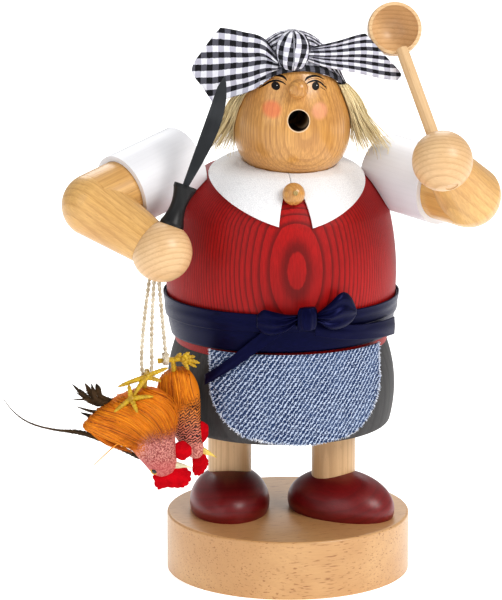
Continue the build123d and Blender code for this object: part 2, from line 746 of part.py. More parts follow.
# Collar, its bead and the bead's pin
with BuildPart() as collar:
    add(make_torso_body(soft_gap + collar_thickness))
    add(make_torso_body(soft_gap), mode=Mode.SUBTRACT)
    with BuildSketch(Plane(spot(0, collar_forward, torso_floor + shoulder_rise - collar_radius))):
        Circle(collar_radius)
        with BuildLine():
            Polyline(
                (collar_notch_side - collar_notch_root, collar_forward - collar_notch_forward),
                (collar_notch_side + collar_notch_root, collar_forward - collar_notch_forward),
                (collar_notch_side + collar_notch_tip, -collar_radius),
                (collar_notch_side + collar_notch_tip, -collar_radius - overrun),
                (collar_notch_side - collar_notch_tip, -collar_radius - overrun),
                (collar_notch_side - collar_notch_tip, -collar_radius),
                close=True,
            )
        make_face(mode=Mode.SUBTRACT)
    extrude(amount=collar_radius * 2, mode=Mode.INTERSECT)
    add(make_head_body(soft_gap), mode=Mode.SUBTRACT)
    with Locations(bead_place):
        Sphere(bead_radius + soft_gap, mode=Mode.SUBTRACT)
save(collar.part, "collar")

with BuildPart() as collar_bead:
    with Locations(bead_place):
        Sphere(bead_radius)
    with BuildSketch(Plane(bead_place, z_dir=bead_axis).offset(-bead_radius - overrun)):
        Circle(bead_pin_radius + glue_gap)
    extrude(amount=(bead_radius + overrun) * 2, mode=Mode.SUBTRACT)
save(collar_bead.part, "collar_bead")

with BuildPart() as bead_pin:
    with BuildSketch(Plane(bead_place, z_dir=bead_axis).offset(-bead_pin_length + glue_gap)):
        Circle(bead_pin_radius)
    extrude(amount=bead_pin_length - glue_gap + bead_radius)
    with BuildSketch(Plane(bead_place, z_dir=bead_axis).offset(bead_radius)):
        Circle(bead_pin_head)
    extrude(amount=bead_pin_radius)
save(bead_pin.part, "bead_pin")


# Kerchief: cap, knot and two ends
cap_skin = soft_gap + cap_thickness
with BuildPart() as kerchief_cap:
    add(make_head_body(cap_skin))
    add(make_head_body(soft_gap), mode=Mode.SUBTRACT)
    split(
        bisect_by=Plane(
            origin=spot(head_side, head_forward, head_floor + cap_edge_height),
            x_dir=(1, 0, 0),
            z_dir=heading(0) * -sin(radians(cap_edge_slope)) + Vector(0, 0, cos(radians(cap_edge_slope))),
        ),
        keep=Keep.TOP,
    )
save(kerchief_cap.part, "kerchief_cap")

knot_place = spot(head_side + knot_side, head_forward + knot_forward, head_floor + knot_rise)
with BuildPart() as kerchief_knot:
    for rise, width in knot_shares:
        with BuildSketch(Plane(knot_place + Vector(0, 0, knot_height / 2 * rise))):
            Ellipse(knot_width / 2 * width, knot_depth / 2 * width)
    loft()
    add(make_head_body(cap_skin + soft_gap), mode=Mode.SUBTRACT)
save(kerchief_knot.part, "kerchief_knot")


def make_band(plane, length, centre, half, fold):
    # A folded strip of cloth as a closed outline across the kerchief's end
    waves = [(length * (centre + half * place), end_fold * fold * depth) for place, depth in end_fold_shares]
    with BuildSketch(plane) as band:
        with BuildLine():
            front = Spline(*[(place, depth + end_thickness / 2) for place, depth in waves])
            back = Spline(*[(place, depth - end_thickness / 2) for place, depth in reversed(waves)])
            Line(front @ 1, back @ 0)
            Line(back @ 1, front @ 0)
        make_face()
    return band.sketch


def make_kerchief_end(sign, turn, length, outline_shares, section_shares):
    start = knot_place + Vector(sign * (knot_width / 2 + soft_gap), 0, 0)
    outward = Vector(sign * cos(radians(turn)), sin(radians(turn)), 0)
    with BuildPart() as end:
        for share, centre, half, fold in section_shares:
            band_plane = Plane(start + outward * (length * share), x_dir=(0, 0, 1), z_dir=outward)
            add(make_band(band_plane, length, centre, half, fold))
        loft()
        with BuildSketch(Plane(start, x_dir=outward, z_dir=outward.cross(Vector(0, 0, 1)))) as outline:
            with BuildLine():
                Polyline(*[(length * along, length * up) for along, up in outline_shares], close=True)
            make_face()
            fillet(outline.vertices(), end_thickness / 2)
        extrude(amount=length, both=True, mode=Mode.INTERSECT)
        add(make_head_body(cap_skin + soft_gap), mode=Mode.SUBTRACT)
    return end.part


save(
    make_kerchief_end(-1, end_left_turn, end_left_length, end_left_shares, end_left_section_shares),
    "kerchief_end_left",
)
save(
    make_kerchief_end(1, end_right_turn, end_right_length, end_right_shares, end_right_section_shares),
    "kerchief_end_right",
)


# Hair: one tapered bundle on each side, under the cap and clear of the collar and the sleeves
def make_hair(shares, shoulder, axis):
    with BuildPart() as hair:
        for side, forward, rise, width in shares:
            place = spot(
                head_side + head_radius * side,
                head_forward + head_radius * forward,
                head_floor + head_radius * rise,
            )
            with BuildSketch(Plane(place)):
                Ellipse(head_radius * width / 2, hair_depth / 2)
        loft()
        add(make_head_body(soft_gap), mode=Mode.SUBTRACT)
        add(kerchief_cap.part, mode=Mode.SUBTRACT)
        with BuildSketch(Plane(shoulder, z_dir=axis)):
            Circle(sleeve_radius + soft_gap)
        extrude(amount=sleeve_length, mode=Mode.SUBTRACT)
    return hair.part


save(make_hair(hair_left_shares, shoulder_left, arm_left_axis), "hair_left")
save(make_hair(hair_right_shares, shoulder_right, arm_right_axis), "hair_right")


# Waist ribbon: a shell on the torso, doubled in its upper part
def make_wrap(skin, floor, height):
    with BuildPart() as wrap:
        add(make_torso_body(skin))
        add(make_torso_body(soft_gap), mode=Mode.SUBTRACT)
        with BuildSketch(Plane(spot(0, 0, torso_floor + floor))):
            Circle(chest_radius + overrun)
        extrude(amount=height, mode=Mode.INTERSECT)
    return wrap.part


with BuildPart() as waist_ribbon:
    add(make_wrap(soft_gap + ribbon_thickness, ribbon_rise, ribbon_height))
    add(make_wrap(soft_gap + ribbon_thickness * 2, ribbon_rise + ribbon_lap, ribbon_height - ribbon_lap))
save(waist_ribbon.part, "waist_ribbon")

# Bow
bow_radius = chest_radius + soft_gap + ribbon_thickness * 2 + bow_gap
bow_height = torso_floor + bow_rise


def make_wrapped(outline_shares, inner, depth):
    # A flat outline seen from the front, laid on an upright cylinder round the waist
    with BuildPart() as piece:
        with BuildSketch(Plane(spot(0, 0, torso_floor - chest_radius))):
            Circle(inner + depth)
            Circle(inner, mode=Mode.SUBTRACT)
        extrude(amount=chest_radius * 2)
        with BuildSketch(upright(spot(bow_side, overrun, bow_height), 0)) as outline:
            with BuildLine():
                Polyline(*[(bow_unit * side, bow_unit * up) for side, up in outline_shares], close=True)
            make_face()
            fillet(outline.vertices(), ribbon_thickness / 2)
        extrude(amount=inner + depth + overrun, mode=Mode.INTERSECT)
    return piece.part


loop_radius = bow_radius + ribbon_thickness + soft_gap
save(make_wrapped(bow_left_loop_shares, loop_radius, bow_loop_depth), "bow_loop_left")
save(make_wrapped(bow_right_loop_shares, loop_radius, bow_loop_depth), "bow_loop_right")
save(make_wrapped(bow_left_tail_shares, bow_radius, ribbon_thickness), "bow_tail_left")
save(make_wrapped(bow_right_tail_shares, bow_radius, ribbon_thickness), "bow_tail_right")

with BuildPart() as bow_knot:
    with BuildSketch(upright(spot(bow_side, bow_radius, bow_height), 0)):
        RectangleRounded(bow_knot_width, bow_knot_height, bow_loop_depth / 2)
    extrude(amount=bow_knot_depth)
    fillet(bow_knot.faces().sort_by(Axis.Y)[0].edges(), bow_loop_depth / 2 - soft_gap)
save(bow_knot.part, "bow_knot")

# Apron: a curved flap whose upper edge meets the ribbon's lower edge
apron_top = torso_floor + ribbon_rise - soft_gap
belly_height = skirt_floor + skirt_belly_height
apron_waist = skirt_top_radius + ribbon_rise * apron_gap
apron_belly = skirt_belly_radius + apron_gap
apron_middle = (apron_waist + apron_belly) / 2 + apron_gap
with BuildPart() as apron:
    with BuildSketch(figure_section):
        with BuildLine():
            inner_edge = Spline(
                (apron_waist, apron_top),
                (apron_middle, (apron_top + belly_height) / 2),
                (apron_belly, belly_height),
                (apron_belly, skirt_floor - overrun),
            )
            outer_edge = Spline(
                (apron_belly + apron_thickness, skirt_floor - overrun),
                (apron_belly + apron_thickness, belly_height),
                (apron_middle + apron_thickness, (apron_top + belly_height) / 2),
                (apron_waist + apron_thickness, apron_top),
            )
            Line(inner_edge @ 1, outer_edge @ 0)
            Line(outer_edge @ 1, inner_edge @ 0)
        make_face()
    revolve(axis=figure_axis)
    with BuildSketch(upright(spot(apron_side, overrun, apron_top), 0)) as outline:
        with BuildLine():
            Polyline(
                (apron_half_width, -apron_drop + apron_sag),
                (apron_half_width, overrun),
                (-apron_half_width, overrun),
                (-apron_half_width, -apron_drop + apron_sag),
            )
            ThreePointArc(
                (-apron_half_width, -apron_drop + apron_sag),
                (0, -apron_drop),
                (apron_half_width, -apron_drop + apron_sag),
            )
        make_face()
        fillet(outline.vertices().group_by(Axis.Y)[0], apron_corner_round)
    extrude(amount=skirt_belly_radius + overrun, mode=Mode.INTERSECT)
save(apron.part, "apron")


# Twine, feet and fowl, all in the plane of the twine's hole
def fowl_place(share):
    return fowl_plane.from_local_coords(Vector(*share) * fowl_unit)


def lay_twine(shares):
    corners = [fowl_place(share) for share in shares]
    radii = []
    for before, corner, after in zip(corners, corners[1:], corners[2:]):
        turn = (corner - before).get_angle(after - corner)
        shorter = min((corner - before).length, (after - corner).length)
        radii.append(twine_bend_share * shorter / tan(radians(turn / 2)))
    with BuildPart() as twine:
        with BuildLine() as route:
            FilletPolyline(*corners, radius=radii)
        with BuildSketch(Plane(corners[0], z_dir=corners[1] - corners[0])):
            Circle(twine_radius)
        sweep(path=route.line)
    expected = pi * twine_radius**2 * route.wires()[0].length
    print("twine radii", [round(radius, 2) for radius in radii])
    print("twine volume share", round(twine.part.volume / expected, 3))
    return twine.part


twine_near = lay_twine(twine_near_shares)
twine_far = lay_twine(twine_far_shares)
save(twine_near, "twine_near")
save(twine_far, "twine_far")


def make_stick(start, end, start_radius, end_radius):
    with BuildPart() as stick:
        with BuildSketch(Plane(start, z_dir=end - start)):
            Circle(start_radius)
        with BuildSketch(Plane(end, z_dir=end - start)):
            Circle(end_radius)
        loft()
    return stick.part


def make_feet(leg, hip, toes):
    # The bundled legs, the stretch that enters the body and the toes
    with BuildPart() as feet:
        for start, end in (leg, hip):
            add(make_stick(fowl_place(start), fowl_place(end), leg_bundle_radius, leg_bundle_radius))
        for start, end in toes:
            with Locations(fowl_place(start)):
                Sphere(leg_bundle_radius * joint_share)
            add(make_stick(fowl_place(start), fowl_place(end), leg_bundle_radius, toe_radius))
    return feet.part


def make_swell(front, turn, shares):
    # A form that swells and tapers along a direction in the fowl's plane, flattened from front to back
    direction = fowl_plane.x_dir * cos(radians(turn)) + Vector(0, 0, sin(radians(turn)))
    with BuildPart() as swell:
        for side, up, radius in shares:
            with BuildSketch(Plane(fowl_place((side, up, front)), x_dir=fowl_plane.z_dir, z_dir=direction)):
                Ellipse(radius * fowl_unit * body_depth_share, radius * fowl_unit)
        loft()
    return swell.part


def make_felt(shares, front, thickness, *others):
    with BuildPart() as felt:
        with BuildSketch(fowl_plane.offset(front * fowl_unit)):
            with BuildLine():
                Polyline(*[(side * fowl_unit, up * fowl_unit) for side, up in shares], close=True)
            make_face()
        extrude(amount=thickness / 2, both=True)
        for other in others:
            add(other, mode=Mode.SUBTRACT)
    return felt.part


def make_beak(head, front, turn):
    direction = fowl_plane.x_dir * cos(radians(turn)) + Vector(0, 0, sin(radians(turn)))
    root = fowl_place((head[0], head[1], front)) + direction * (head[2] * fowl_unit - beak_sink)
    return make_stick(root, root + direction * (beak_length + beak_sink), beak_radius, toe_radius)


def cut(part, *others):
    with BuildPart() as piece:
        add(part)
        for other in others:
            add(other, mode=Mode.SUBTRACT)
    return piece.part


near_feet = make_feet(near_leg_shares, near_hip_shares, near_toe_shares)
far_feet = make_feet(far_leg_shares, far_hip_shares, far_toe_shares)
with BuildPart() as near_form:
    add(make_swell(near_front_share, 0, near_body_shares))
    add(make_swell(near_front_share, near_neck_turn, near_neck_shares))
near_whole = near_form.part
far_whole = make_swell(far_front_share, far_body_turn, far_body_shares)
near_beak = make_beak(near_head_share, near_front_share, near_beak_turn)
far_beak = make_beak(far_head_share, far_front_share, far_beak_turn)
with BuildPart() as near_eye:
    with Locations(fowl_place(near_eye_share)):
        Sphere(eye_radius)
near_body = cut(near_whole, near_feet, near_beak, near_eye.part)
far_body = cut(far_whole, far_feet, far_beak)
save(near_body, "fowl_near_body")
save(far_body, "fowl_far_body")
save(near_feet, "fowl_near_feet")
save(far_feet, "fowl_far_feet")
save(near_beak, "fowl_near_beak")
save(far_beak, "fowl_far_beak")
save(near_eye.part, "fowl_near_eye")
for shares, label in ((near_comb_shares, "fowl_near_comb"), (near_wattle_shares, "fowl_near_wattle")):
    save(make_felt(shares, near_front_share, felt_thickness, near_whole, near_beak), label)
for shares, label in ((far_comb_shares, "fowl_far_comb"), (far_wattle_shares, "fowl_far_wattle")):
    save(make_felt(shares, far_front_share, felt_thickness, far_whole, far_beak), label)
save(make_felt(near_feather_shares, near_front_share, feather_thickness, near_whole), "fowl_near_tail")

with BuildPart() as plume:
    with BuildSketch(fowl_plane.offset(near_front_share * fowl_unit)):
        with BuildLine():
            upper = Spline(*[(side * fowl_unit, (up + half) * fowl_unit) for side, up, half in plume_shares])
            places = [(side * fowl_unit, (up - half) * fowl_unit) for side, up, half in plume_shares]
            lower = Spline(*reversed(places))
            Line(upper @ 1, lower @ 0)
            Line(lower @ 1, upper @ 0)
        make_face()
    extrude(amount=feather_thickness / 2, both=True)
    add(near_whole, mode=Mode.SUBTRACT)
save(plume.part, "fowl_near_plume")

with BuildPart() as twine_tie:
    tie_plane = Plane(fowl_place(tie_share), x_dir=(0, 0, 1), z_dir=fowl_plane.x_dir)
    with BuildSketch(tie_plane.offset(-tie_width / 2)):
        Circle(tie_radius)
    extrude(amount=tie_width)
    add(far_feet, mode=Mode.SUBTRACT)
    add(twine_far, mode=Mode.SUBTRACT)
save(twine_tie.part, "twine_tie")
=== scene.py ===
import math
import random
from functools import cache

import bpy
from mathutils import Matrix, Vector, noise
from mathutils.bvhtree import BVHTree


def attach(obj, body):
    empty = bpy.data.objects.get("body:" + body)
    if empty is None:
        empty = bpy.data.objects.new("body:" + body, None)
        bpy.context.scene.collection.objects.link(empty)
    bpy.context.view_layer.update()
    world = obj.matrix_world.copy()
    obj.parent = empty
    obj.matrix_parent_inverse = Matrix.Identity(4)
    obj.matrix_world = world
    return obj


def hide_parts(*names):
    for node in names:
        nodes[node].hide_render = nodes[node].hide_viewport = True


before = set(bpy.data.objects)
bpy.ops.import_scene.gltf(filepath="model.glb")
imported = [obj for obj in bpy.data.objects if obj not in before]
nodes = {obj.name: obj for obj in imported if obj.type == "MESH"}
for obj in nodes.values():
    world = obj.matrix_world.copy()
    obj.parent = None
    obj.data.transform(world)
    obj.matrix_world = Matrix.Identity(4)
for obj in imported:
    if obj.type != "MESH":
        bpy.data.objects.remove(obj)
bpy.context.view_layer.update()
random.seed(24)

mm = 0.001
figure = {"side": -2.3, "back": 4.4, "upper": "upper_body", "fowl": "fowl_bunch"}
headAxis = Vector((0.3 * mm, -6.1 * mm, 0))
up = Vector((0, 0, 1))


# Camera, floor and lights
studio = {
    "cameraPlace": (-0.2341, -1.3804, 0.4254),
    "cameraFacing": (0.15266, 0.96390, -0.21814),
    "lens": 210.4,
    "sensor": 36,
    "floorSize": 9,
    "floor": {"Base Color": (0.93, 0.93, 0.93, 1), "Roughness": 0.85, "Emission Color": (1, 1, 1, 1),
              "Emission Strength": 0.5},
    "skyStrength": 0.4,
    "lights": (  # name, place, size, power, colour
        ("keyLight", (0.85, -1.05, 1.15), 0.75, 15, (1, 0.985, 0.96)),
        ("fillLight", (-1.2, -1.0, 0.8), 1.2, 5, (0.96, 0.98, 1)),
        ("rimLight", (0.1, 1.2, 1.1), 1.0, 9, (1, 1, 1)),
    ),
    "aim": (0, 0, 0.11),
}


def makeStudio():
    camera = bpy.data.objects.new("camera", bpy.data.cameras.new("camera"))
    bpy.context.scene.collection.objects.link(camera)
    camera.location = studio["cameraPlace"]
    camera.rotation_euler = Vector(studio["cameraFacing"]).to_track_quat("-Z", "Y").to_euler()
    camera.data.sensor_fit = "VERTICAL"
    camera.data.sensor_height = studio["sensor"]
    camera.data.lens = studio["lens"]
    bpy.context.scene.camera = camera
    bpy.context.scene.view_settings.view_transform = "Standard"
    bpy.context.scene.view_settings.look = "Medium High Contrast"

    half = studio["floorSize"] / 2
    corners = [(-half, -half, 0), (half, -half, 0), (half, half, 0), (-half, half, 0)]
    mesh = bpy.data.meshes.new("floor")
    mesh.from_pydata(corners, [], [(0, 1, 2, 3)])
    floor = bpy.data.objects.new("floor", mesh)
    bpy.context.scene.collection.objects.link(floor)
    material = bpy.data.materials.new("paleFloor")
    material.use_nodes = True
    for socket, value in studio["floor"].items():
        material.node_tree.nodes["Principled BSDF"].inputs[socket].default_value = value
    mesh.materials.append(material)

    for name, place, size, power, colour in studio["lights"]:
        light = bpy.data.lights.new(name, "AREA")
        light.energy = power
        light.size = size
        light.color = colour
        lamp = bpy.data.objects.new(name, light)
        bpy.context.scene.collection.objects.link(lamp)
        lamp.location = place
        lamp.rotation_euler = (Vector(studio["aim"]) - Vector(place)).to_track_quat("-Z", "Y").to_euler()
    world = bpy.data.worlds.new("studioWorld")
    bpy.context.scene.world = world
    world.use_nodes = True
    world.node_tree.nodes["Background"].inputs["Color"].default_value = (1, 1, 1, 1)
    world.node_tree.nodes["Background"].inputs["Strength"].default_value = studio["skyStrength"]


makeStudio()
print("studio: camera, floor and lights")


# Small helpers for node trees
def feed(tree, socket, value):
    if isinstance(value, bpy.types.NodeSocket):
        tree.links.new(value, socket)
    else:
        socket.default_value = value


def addNode(tree, kind, settings=None, **sockets):
    node = tree.nodes.new(kind)
    for key, value in (settings or {}).items():
        setattr(node, key, value)
    for name, value in sockets.items():
        feed(tree, node.inputs[name.replace("_", " ")], value)
    return node


def calc(tree, operation, *values):
    node = tree.nodes.new("ShaderNodeMath")
    node.operation = operation
    for socket, value in zip(node.inputs, values):
        feed(tree, socket, value)
    return node.outputs[0]


def mixColours(tree, factor, first, second, blend="MIX"):
    node = tree.nodes.new("ShaderNodeMix")
    node.data_type = "RGBA"
    node.blend_type = blend
    feed(tree, node.inputs[0], factor)
    feed(tree, node.inputs[6], first)
    feed(tree, node.inputs[7], second)
    return node.outputs[2]


def tinted(tree, colour, other, mask, share):
    # Lays another colour over the first, by a mask and a share
    return mixColours(tree, calc(tree, "MULTIPLY", mask, share), colour, other)


def between(tree, value, low, high, start=0.0, end=1.0):
    node = addNode(tree, "ShaderNodeMapRange", {"interpolation_type": "SMOOTHSTEP"})
    for name, number in (("From Min", low), ("From Max", high), ("To Min", start), ("To Max", end)):
        feed(tree, node.inputs[name], number)
    feed(tree, node.inputs["Value"], value)
    return node.outputs["Result"]


def stretched(tree, vector, scales):
    node = addNode(tree, "ShaderNodeVectorMath", {"operation": "MULTIPLY"})
    feed(tree, node.inputs[0], vector)
    node.inputs[1].default_value = scales
    return node.outputs[0]


def noiseOf(tree, vector, scale, detail=3.0, roughness=0.5):
    node = addNode(tree, "ShaderNodeTexNoise", Vector=vector, Scale=scale, Detail=detail, Roughness=roughness)
    return node.outputs["Fac"]


def startMaterial(name, **settings):
    material = bpy.data.materials.new(name)
    material.use_nodes = True
    shader = material.node_tree.nodes["Principled BSDF"]
    for socket, value in settings.items():
        shader.inputs[socket.replace("_", " ")].default_value = value
    return material, material.node_tree, shader


def giveBump(tree, shader, height, strength, distance):
    bump = addNode(tree, "ShaderNodeBump", Strength=strength, Distance=distance, Height=height)
    tree.links.new(bump.outputs["Normal"], shader.inputs["Normal"])


def finishMaterial(tree, shader, colour, height, strength, distance):
    tree.links.new(colour, shader.inputs["Base Color"])
    giveBump(tree, shader, height, strength, distance)


def objectPlace(tree):
    return tree.nodes.new("ShaderNodeTexCoord").outputs["Object"]


def partsOf(tree, vector):
    return addNode(tree, "ShaderNodeSeparateXYZ", Vector=vector).outputs


def islandOf(tree):
    return addNode(tree, "ShaderNodeNewGeometry").outputs["Random Per Island"]


def clothPlace(tree):
    return addNode(tree, "ShaderNodeUVMap", {"uv_map": "cloth"}).outputs["UV"]


def startGroup(name, numbers, results):
    # A node group that takes a place and some numbers, and gives masks or heights
    group = bpy.data.node_groups.new(name, "ShaderNodeTree")
    group.interface.new_socket("Place", in_out="INPUT", socket_type="NodeSocketVector")
    for way, labels in (("INPUT", numbers), ("OUTPUT", results)):
        for label in labels:
            group.interface.new_socket(label, in_out=way, socket_type="NodeSocketFloat")
    return group, group.nodes.new("NodeGroupInput").outputs, group.nodes.new("NodeGroupOutput").inputs


def useGroup(tree, group, **values):
    node = tree.nodes.new("ShaderNodeGroup")
    node.node_tree = group
    for name, value in values.items():
        feed(tree, node.inputs[name.replace("_", " ")], value)
    return node.outputs


# Wood grain: rings round a pith along z, fine fibres, and short dark pores
def makeGrainGroup():
    group, given, result = startGroup("woodGrain",
                                      ("Ring Pitch", "Waver", "Swell", "Pore Scale", "Pore Start"),
                                      ("Rings", "Fibres", "Pores"))
    slow = noiseOf(group, stretched(group, given["Place"], (1, 1, 0.22)), 60, 2)
    parts = partsOf(group, given["Place"])
    across = calc(group, "MULTIPLY", parts["X"], parts["X"])
    reach = calc(group, "SQRT", calc(group, "MULTIPLY_ADD", parts["Y"], parts["Y"], across))
    waved = calc(group, "MULTIPLY_ADD", calc(group, "SUBTRACT", slow, 0.5), given["Waver"], reach)
    level = calc(group, "MULTIPLY", parts["Z"], parts["Z"])
    bent = calc(group, "MULTIPLY_ADD", level, given["Swell"], waved)
    turn = calc(group, "FRACT", calc(group, "DIVIDE", bent, given["Ring Pitch"]))
    late = between(group, turn, 0.45, 0.94)
    ended = between(group, turn, 0.95, 1.0, 1, 0)
    group.links.new(calc(group, "MULTIPLY", late, ended), result["Rings"])
    fibres = noiseOf(group, stretched(group, given["Place"], (1, 1, 0.035)), 1700, 3, 0.6)
    group.links.new(between(group, fibres, 0.3, 0.7), result["Fibres"])
    pores = noiseOf(group, stretched(group, given["Place"], (1, 1, 0.12)), given["Pore Scale"], 2)
    group.links.new(between(group, pores, given["Pore Start"], 0.72), result["Pores"])
    return group


# Cloth: over and under threads of a plain weave, on the cloth's own coordinates
def makeWeaveGroup():
    group, given, result = startGroup("plainWeave", ("Thread",), ("Height", "Slub"))
    parts = partsOf(group, given["Place"])
    waves = []
    for axis in ("X", "Y"):
        phase = calc(group, "MULTIPLY", calc(group, "DIVIDE", parts[axis], given["Thread"]), math.pi)
        waves.append(calc(group, "ABSOLUTE", calc(group, "SINE", phase)))
    group.links.new(calc(group, "MULTIPLY", waves[0], waves[1]), result["Height"])
    group.links.new(noiseOf(group, stretched(group, given["Place"], (1, 0.2, 1)), 900, 3), result["Slub"])
    return group


# Shade: soft patches and a fine grit, for surfaces that are not all of one tone
def makeShadeGroup():
    group, given, result = startGroup("dustyShade", ("Scale",), ("Patches", "Grit"))
    patches = noiseOf(group, given["Place"], given["Scale"], 2)
    group.links.new(between(group, patches, 0.3, 0.7), result["Patches"])
    finer = calc(group, "MULTIPLY", given["Scale"], 14.0)
    group.links.new(noiseOf(group, given["Place"], finer), result["Grit"])
    return group


grainGroup = makeGrainGroup()
weaveGroup = makeWeaveGroup()
shadeGroup = makeShadeGroup()


def shadeOf(tree, place, scale):
    return useGroup(tree, shadeGroup, Place=place, Scale=scale)


def grainPlace(tree, pith, along):
    # Turns the coordinates so that z runs along the fibres and the pith is at zero
    turn = Vector(along).normalized().to_track_quat("Z", "Y").to_euler()
    mapping = addNode(tree, "ShaderNodeMapping", {"vector_type": "TEXTURE"})
    mapping.inputs["Location"].default_value = [number * mm for number in pith]
    mapping.inputs["Rotation"].default_value = turn
    tree.links.new(objectPlace(tree), mapping.inputs["Vector"])
    return mapping.outputs["Vector"]


def makeWood(name, pith, along, look):
    material, tree, shader = startMaterial(
        name, Roughness=look["roughness"], Coat_Weight=look["coat"], Coat_Roughness=look["coatRoughness"],
        Specular_IOR_Level=look["shine"],
    )
    place = grainPlace(tree, pith, along)
    grain = useGroup(tree, grainGroup, Place=place, Ring_Pitch=look["pitch"] * mm, Waver=look["waver"] * mm,
                     Swell=look["swell"], Pore_Scale=look["poreScale"], Pore_Start=look["poreStart"])
    patches = shadeOf(tree, place, look["patchScale"])
    colour = mixColours(tree, patches["Patches"], look["light"], look["mid"])
    colour = tinted(tree, colour, look["dark"], grain["Rings"], look["ringShare"])
    colour = tinted(tree, colour, look["dark"], grain["Fibres"], look["fibreShare"])
    colour = tinted(tree, colour, look["pore"], grain["Pores"], look["poreShare"])
    relief = calc(tree, "SUBTRACT", 1.0, calc(tree, "MULTIPLY_ADD", grain["Rings"], 0.5, grain["Pores"]))
    finishMaterial(tree, shader, colour, relief, look["bump"], 0.08 * mm)
    return material, tree, shader, colour


beechLook = {
    "light": (0.76, 0.53, 0.30, 1),
    "mid": (0.68, 0.44, 0.23, 1),
    "dark": (0.44, 0.24, 0.10, 1),
    "pore": (0.33, 0.18, 0.09, 1),
    "pitch": 1.9,
    "waver": 1.4,
    "ringShare": 0.36,
    "fibreShare": 0.22,
    "poreShare": 0.35,
    "roughness": 0.42,
    "coat": 0.25,
    "coatRoughness": 0.25,
    "bump": 0.25,
    "shine": 0.4,
    "swell": 0.0,
    "poreScale": 3200.0,
    "poreStart": 0.64,
    "patchScale": 28.0,
}
woodLooks = {
    "beech": beechLook,
    "honey": beechLook | {
        "light": (0.72, 0.40, 0.13, 1), "mid": (0.57, 0.28, 0.075, 1), "dark": (0.27, 0.10, 0.02, 1),
        "pitch": 1.2, "waver": 1.2, "ringShare": 0.34, "fibreShare": 0.45, "poreShare": 0.3, "coat": 0.5,
        "coatRoughness": 0.15, "roughness": 0.34, "swell": 6.5,
    },
    "block": beechLook | {
        "light": (0.62, 0.37, 0.17, 1), "mid": (0.53, 0.29, 0.12, 1), "pore": (0.28, 0.12, 0.04, 1),
        "pitch": 4.2, "ringShare": 0.14, "poreShare": 0.8, "poreScale": 1500.0, "poreStart": 0.575,
        "coat": 0.45,
    },
    "golden": beechLook | {
        "light": (0.74, 0.46, 0.17, 1), "mid": (0.64, 0.36, 0.12, 1), "dark": (0.40, 0.19, 0.055, 1),
        "pitch": 2.6, "ringShare": 0.32, "fibreShare": 0.36, "coat": 0.4, "coatRoughness": 0.18,
    },
    "red": beechLook | {
        "light": (0.42, 0.007, 0.007, 1), "mid": (0.33, 0.006, 0.006, 1), "dark": (0.08, 0.002, 0.002, 1),
        "pore": (0.10, 0.004, 0.004, 1), "pitch": 0.9, "waver": 0.3, "swell": 2.0, "ringShare": 0.68,
        "fibreShare": 0.3,
        "poreShare": 0.15, "coat": 0.05, "coatRoughness": 0.35, "roughness": 0.5, "bump": 0.5, "shine": 0.25,
    },
    "grey": beechLook | {
        "light": (0.082, 0.079, 0.079, 1), "mid": (0.062, 0.060, 0.061, 1), "dark": (0.030, 0.029, 0.030, 1),
        "pore": (0.10, 0.10, 0.10, 1), "pitch": 4.0, "ringShare": 0.5, "fibreShare": 0.5, "poreShare": 0.12,
        "coat": 0.0, "roughness": 0.6, "bump": 0.4, "shine": 0.3,
    },
    "white": beechLook | {
        "light": (0.80, 0.80, 0.83, 1), "mid": (0.76, 0.76, 0.79, 1), "dark": (0.66, 0.66, 0.69, 1),
        "pore": (0.66, 0.66, 0.67, 1), "ringShare": 0.12, "fibreShare": 0.12, "poreShare": 0.1,
        "coat": 0.2, "roughness": 0.5, "bump": 0.15,
    },
    "darkRed": beechLook | {
        "light": (0.22, 0.006, 0.007, 1), "mid": (0.17, 0.004, 0.006, 1), "dark": (0.07, 0.003, 0.003, 1),
        "pore": (0.03, 0.003, 0.002, 1), "pitch": 2.8, "ringShare": 0.3, "fibreShare": 0.3, "coat": 0.35,
        "coatRoughness": 0.3, "roughness": 0.42,
    },
    "black": beechLook | {
        "light": (0.018, 0.018, 0.019, 1), "mid": (0.012, 0.012, 0.013, 1), "dark": (0.005, 0.005, 0.005, 1),
        "pore": (0.03, 0.03, 0.03, 1), "coat": 0.12, "coatRoughness": 0.25, "roughness": 0.45, "shine": 0.25,
    },
}

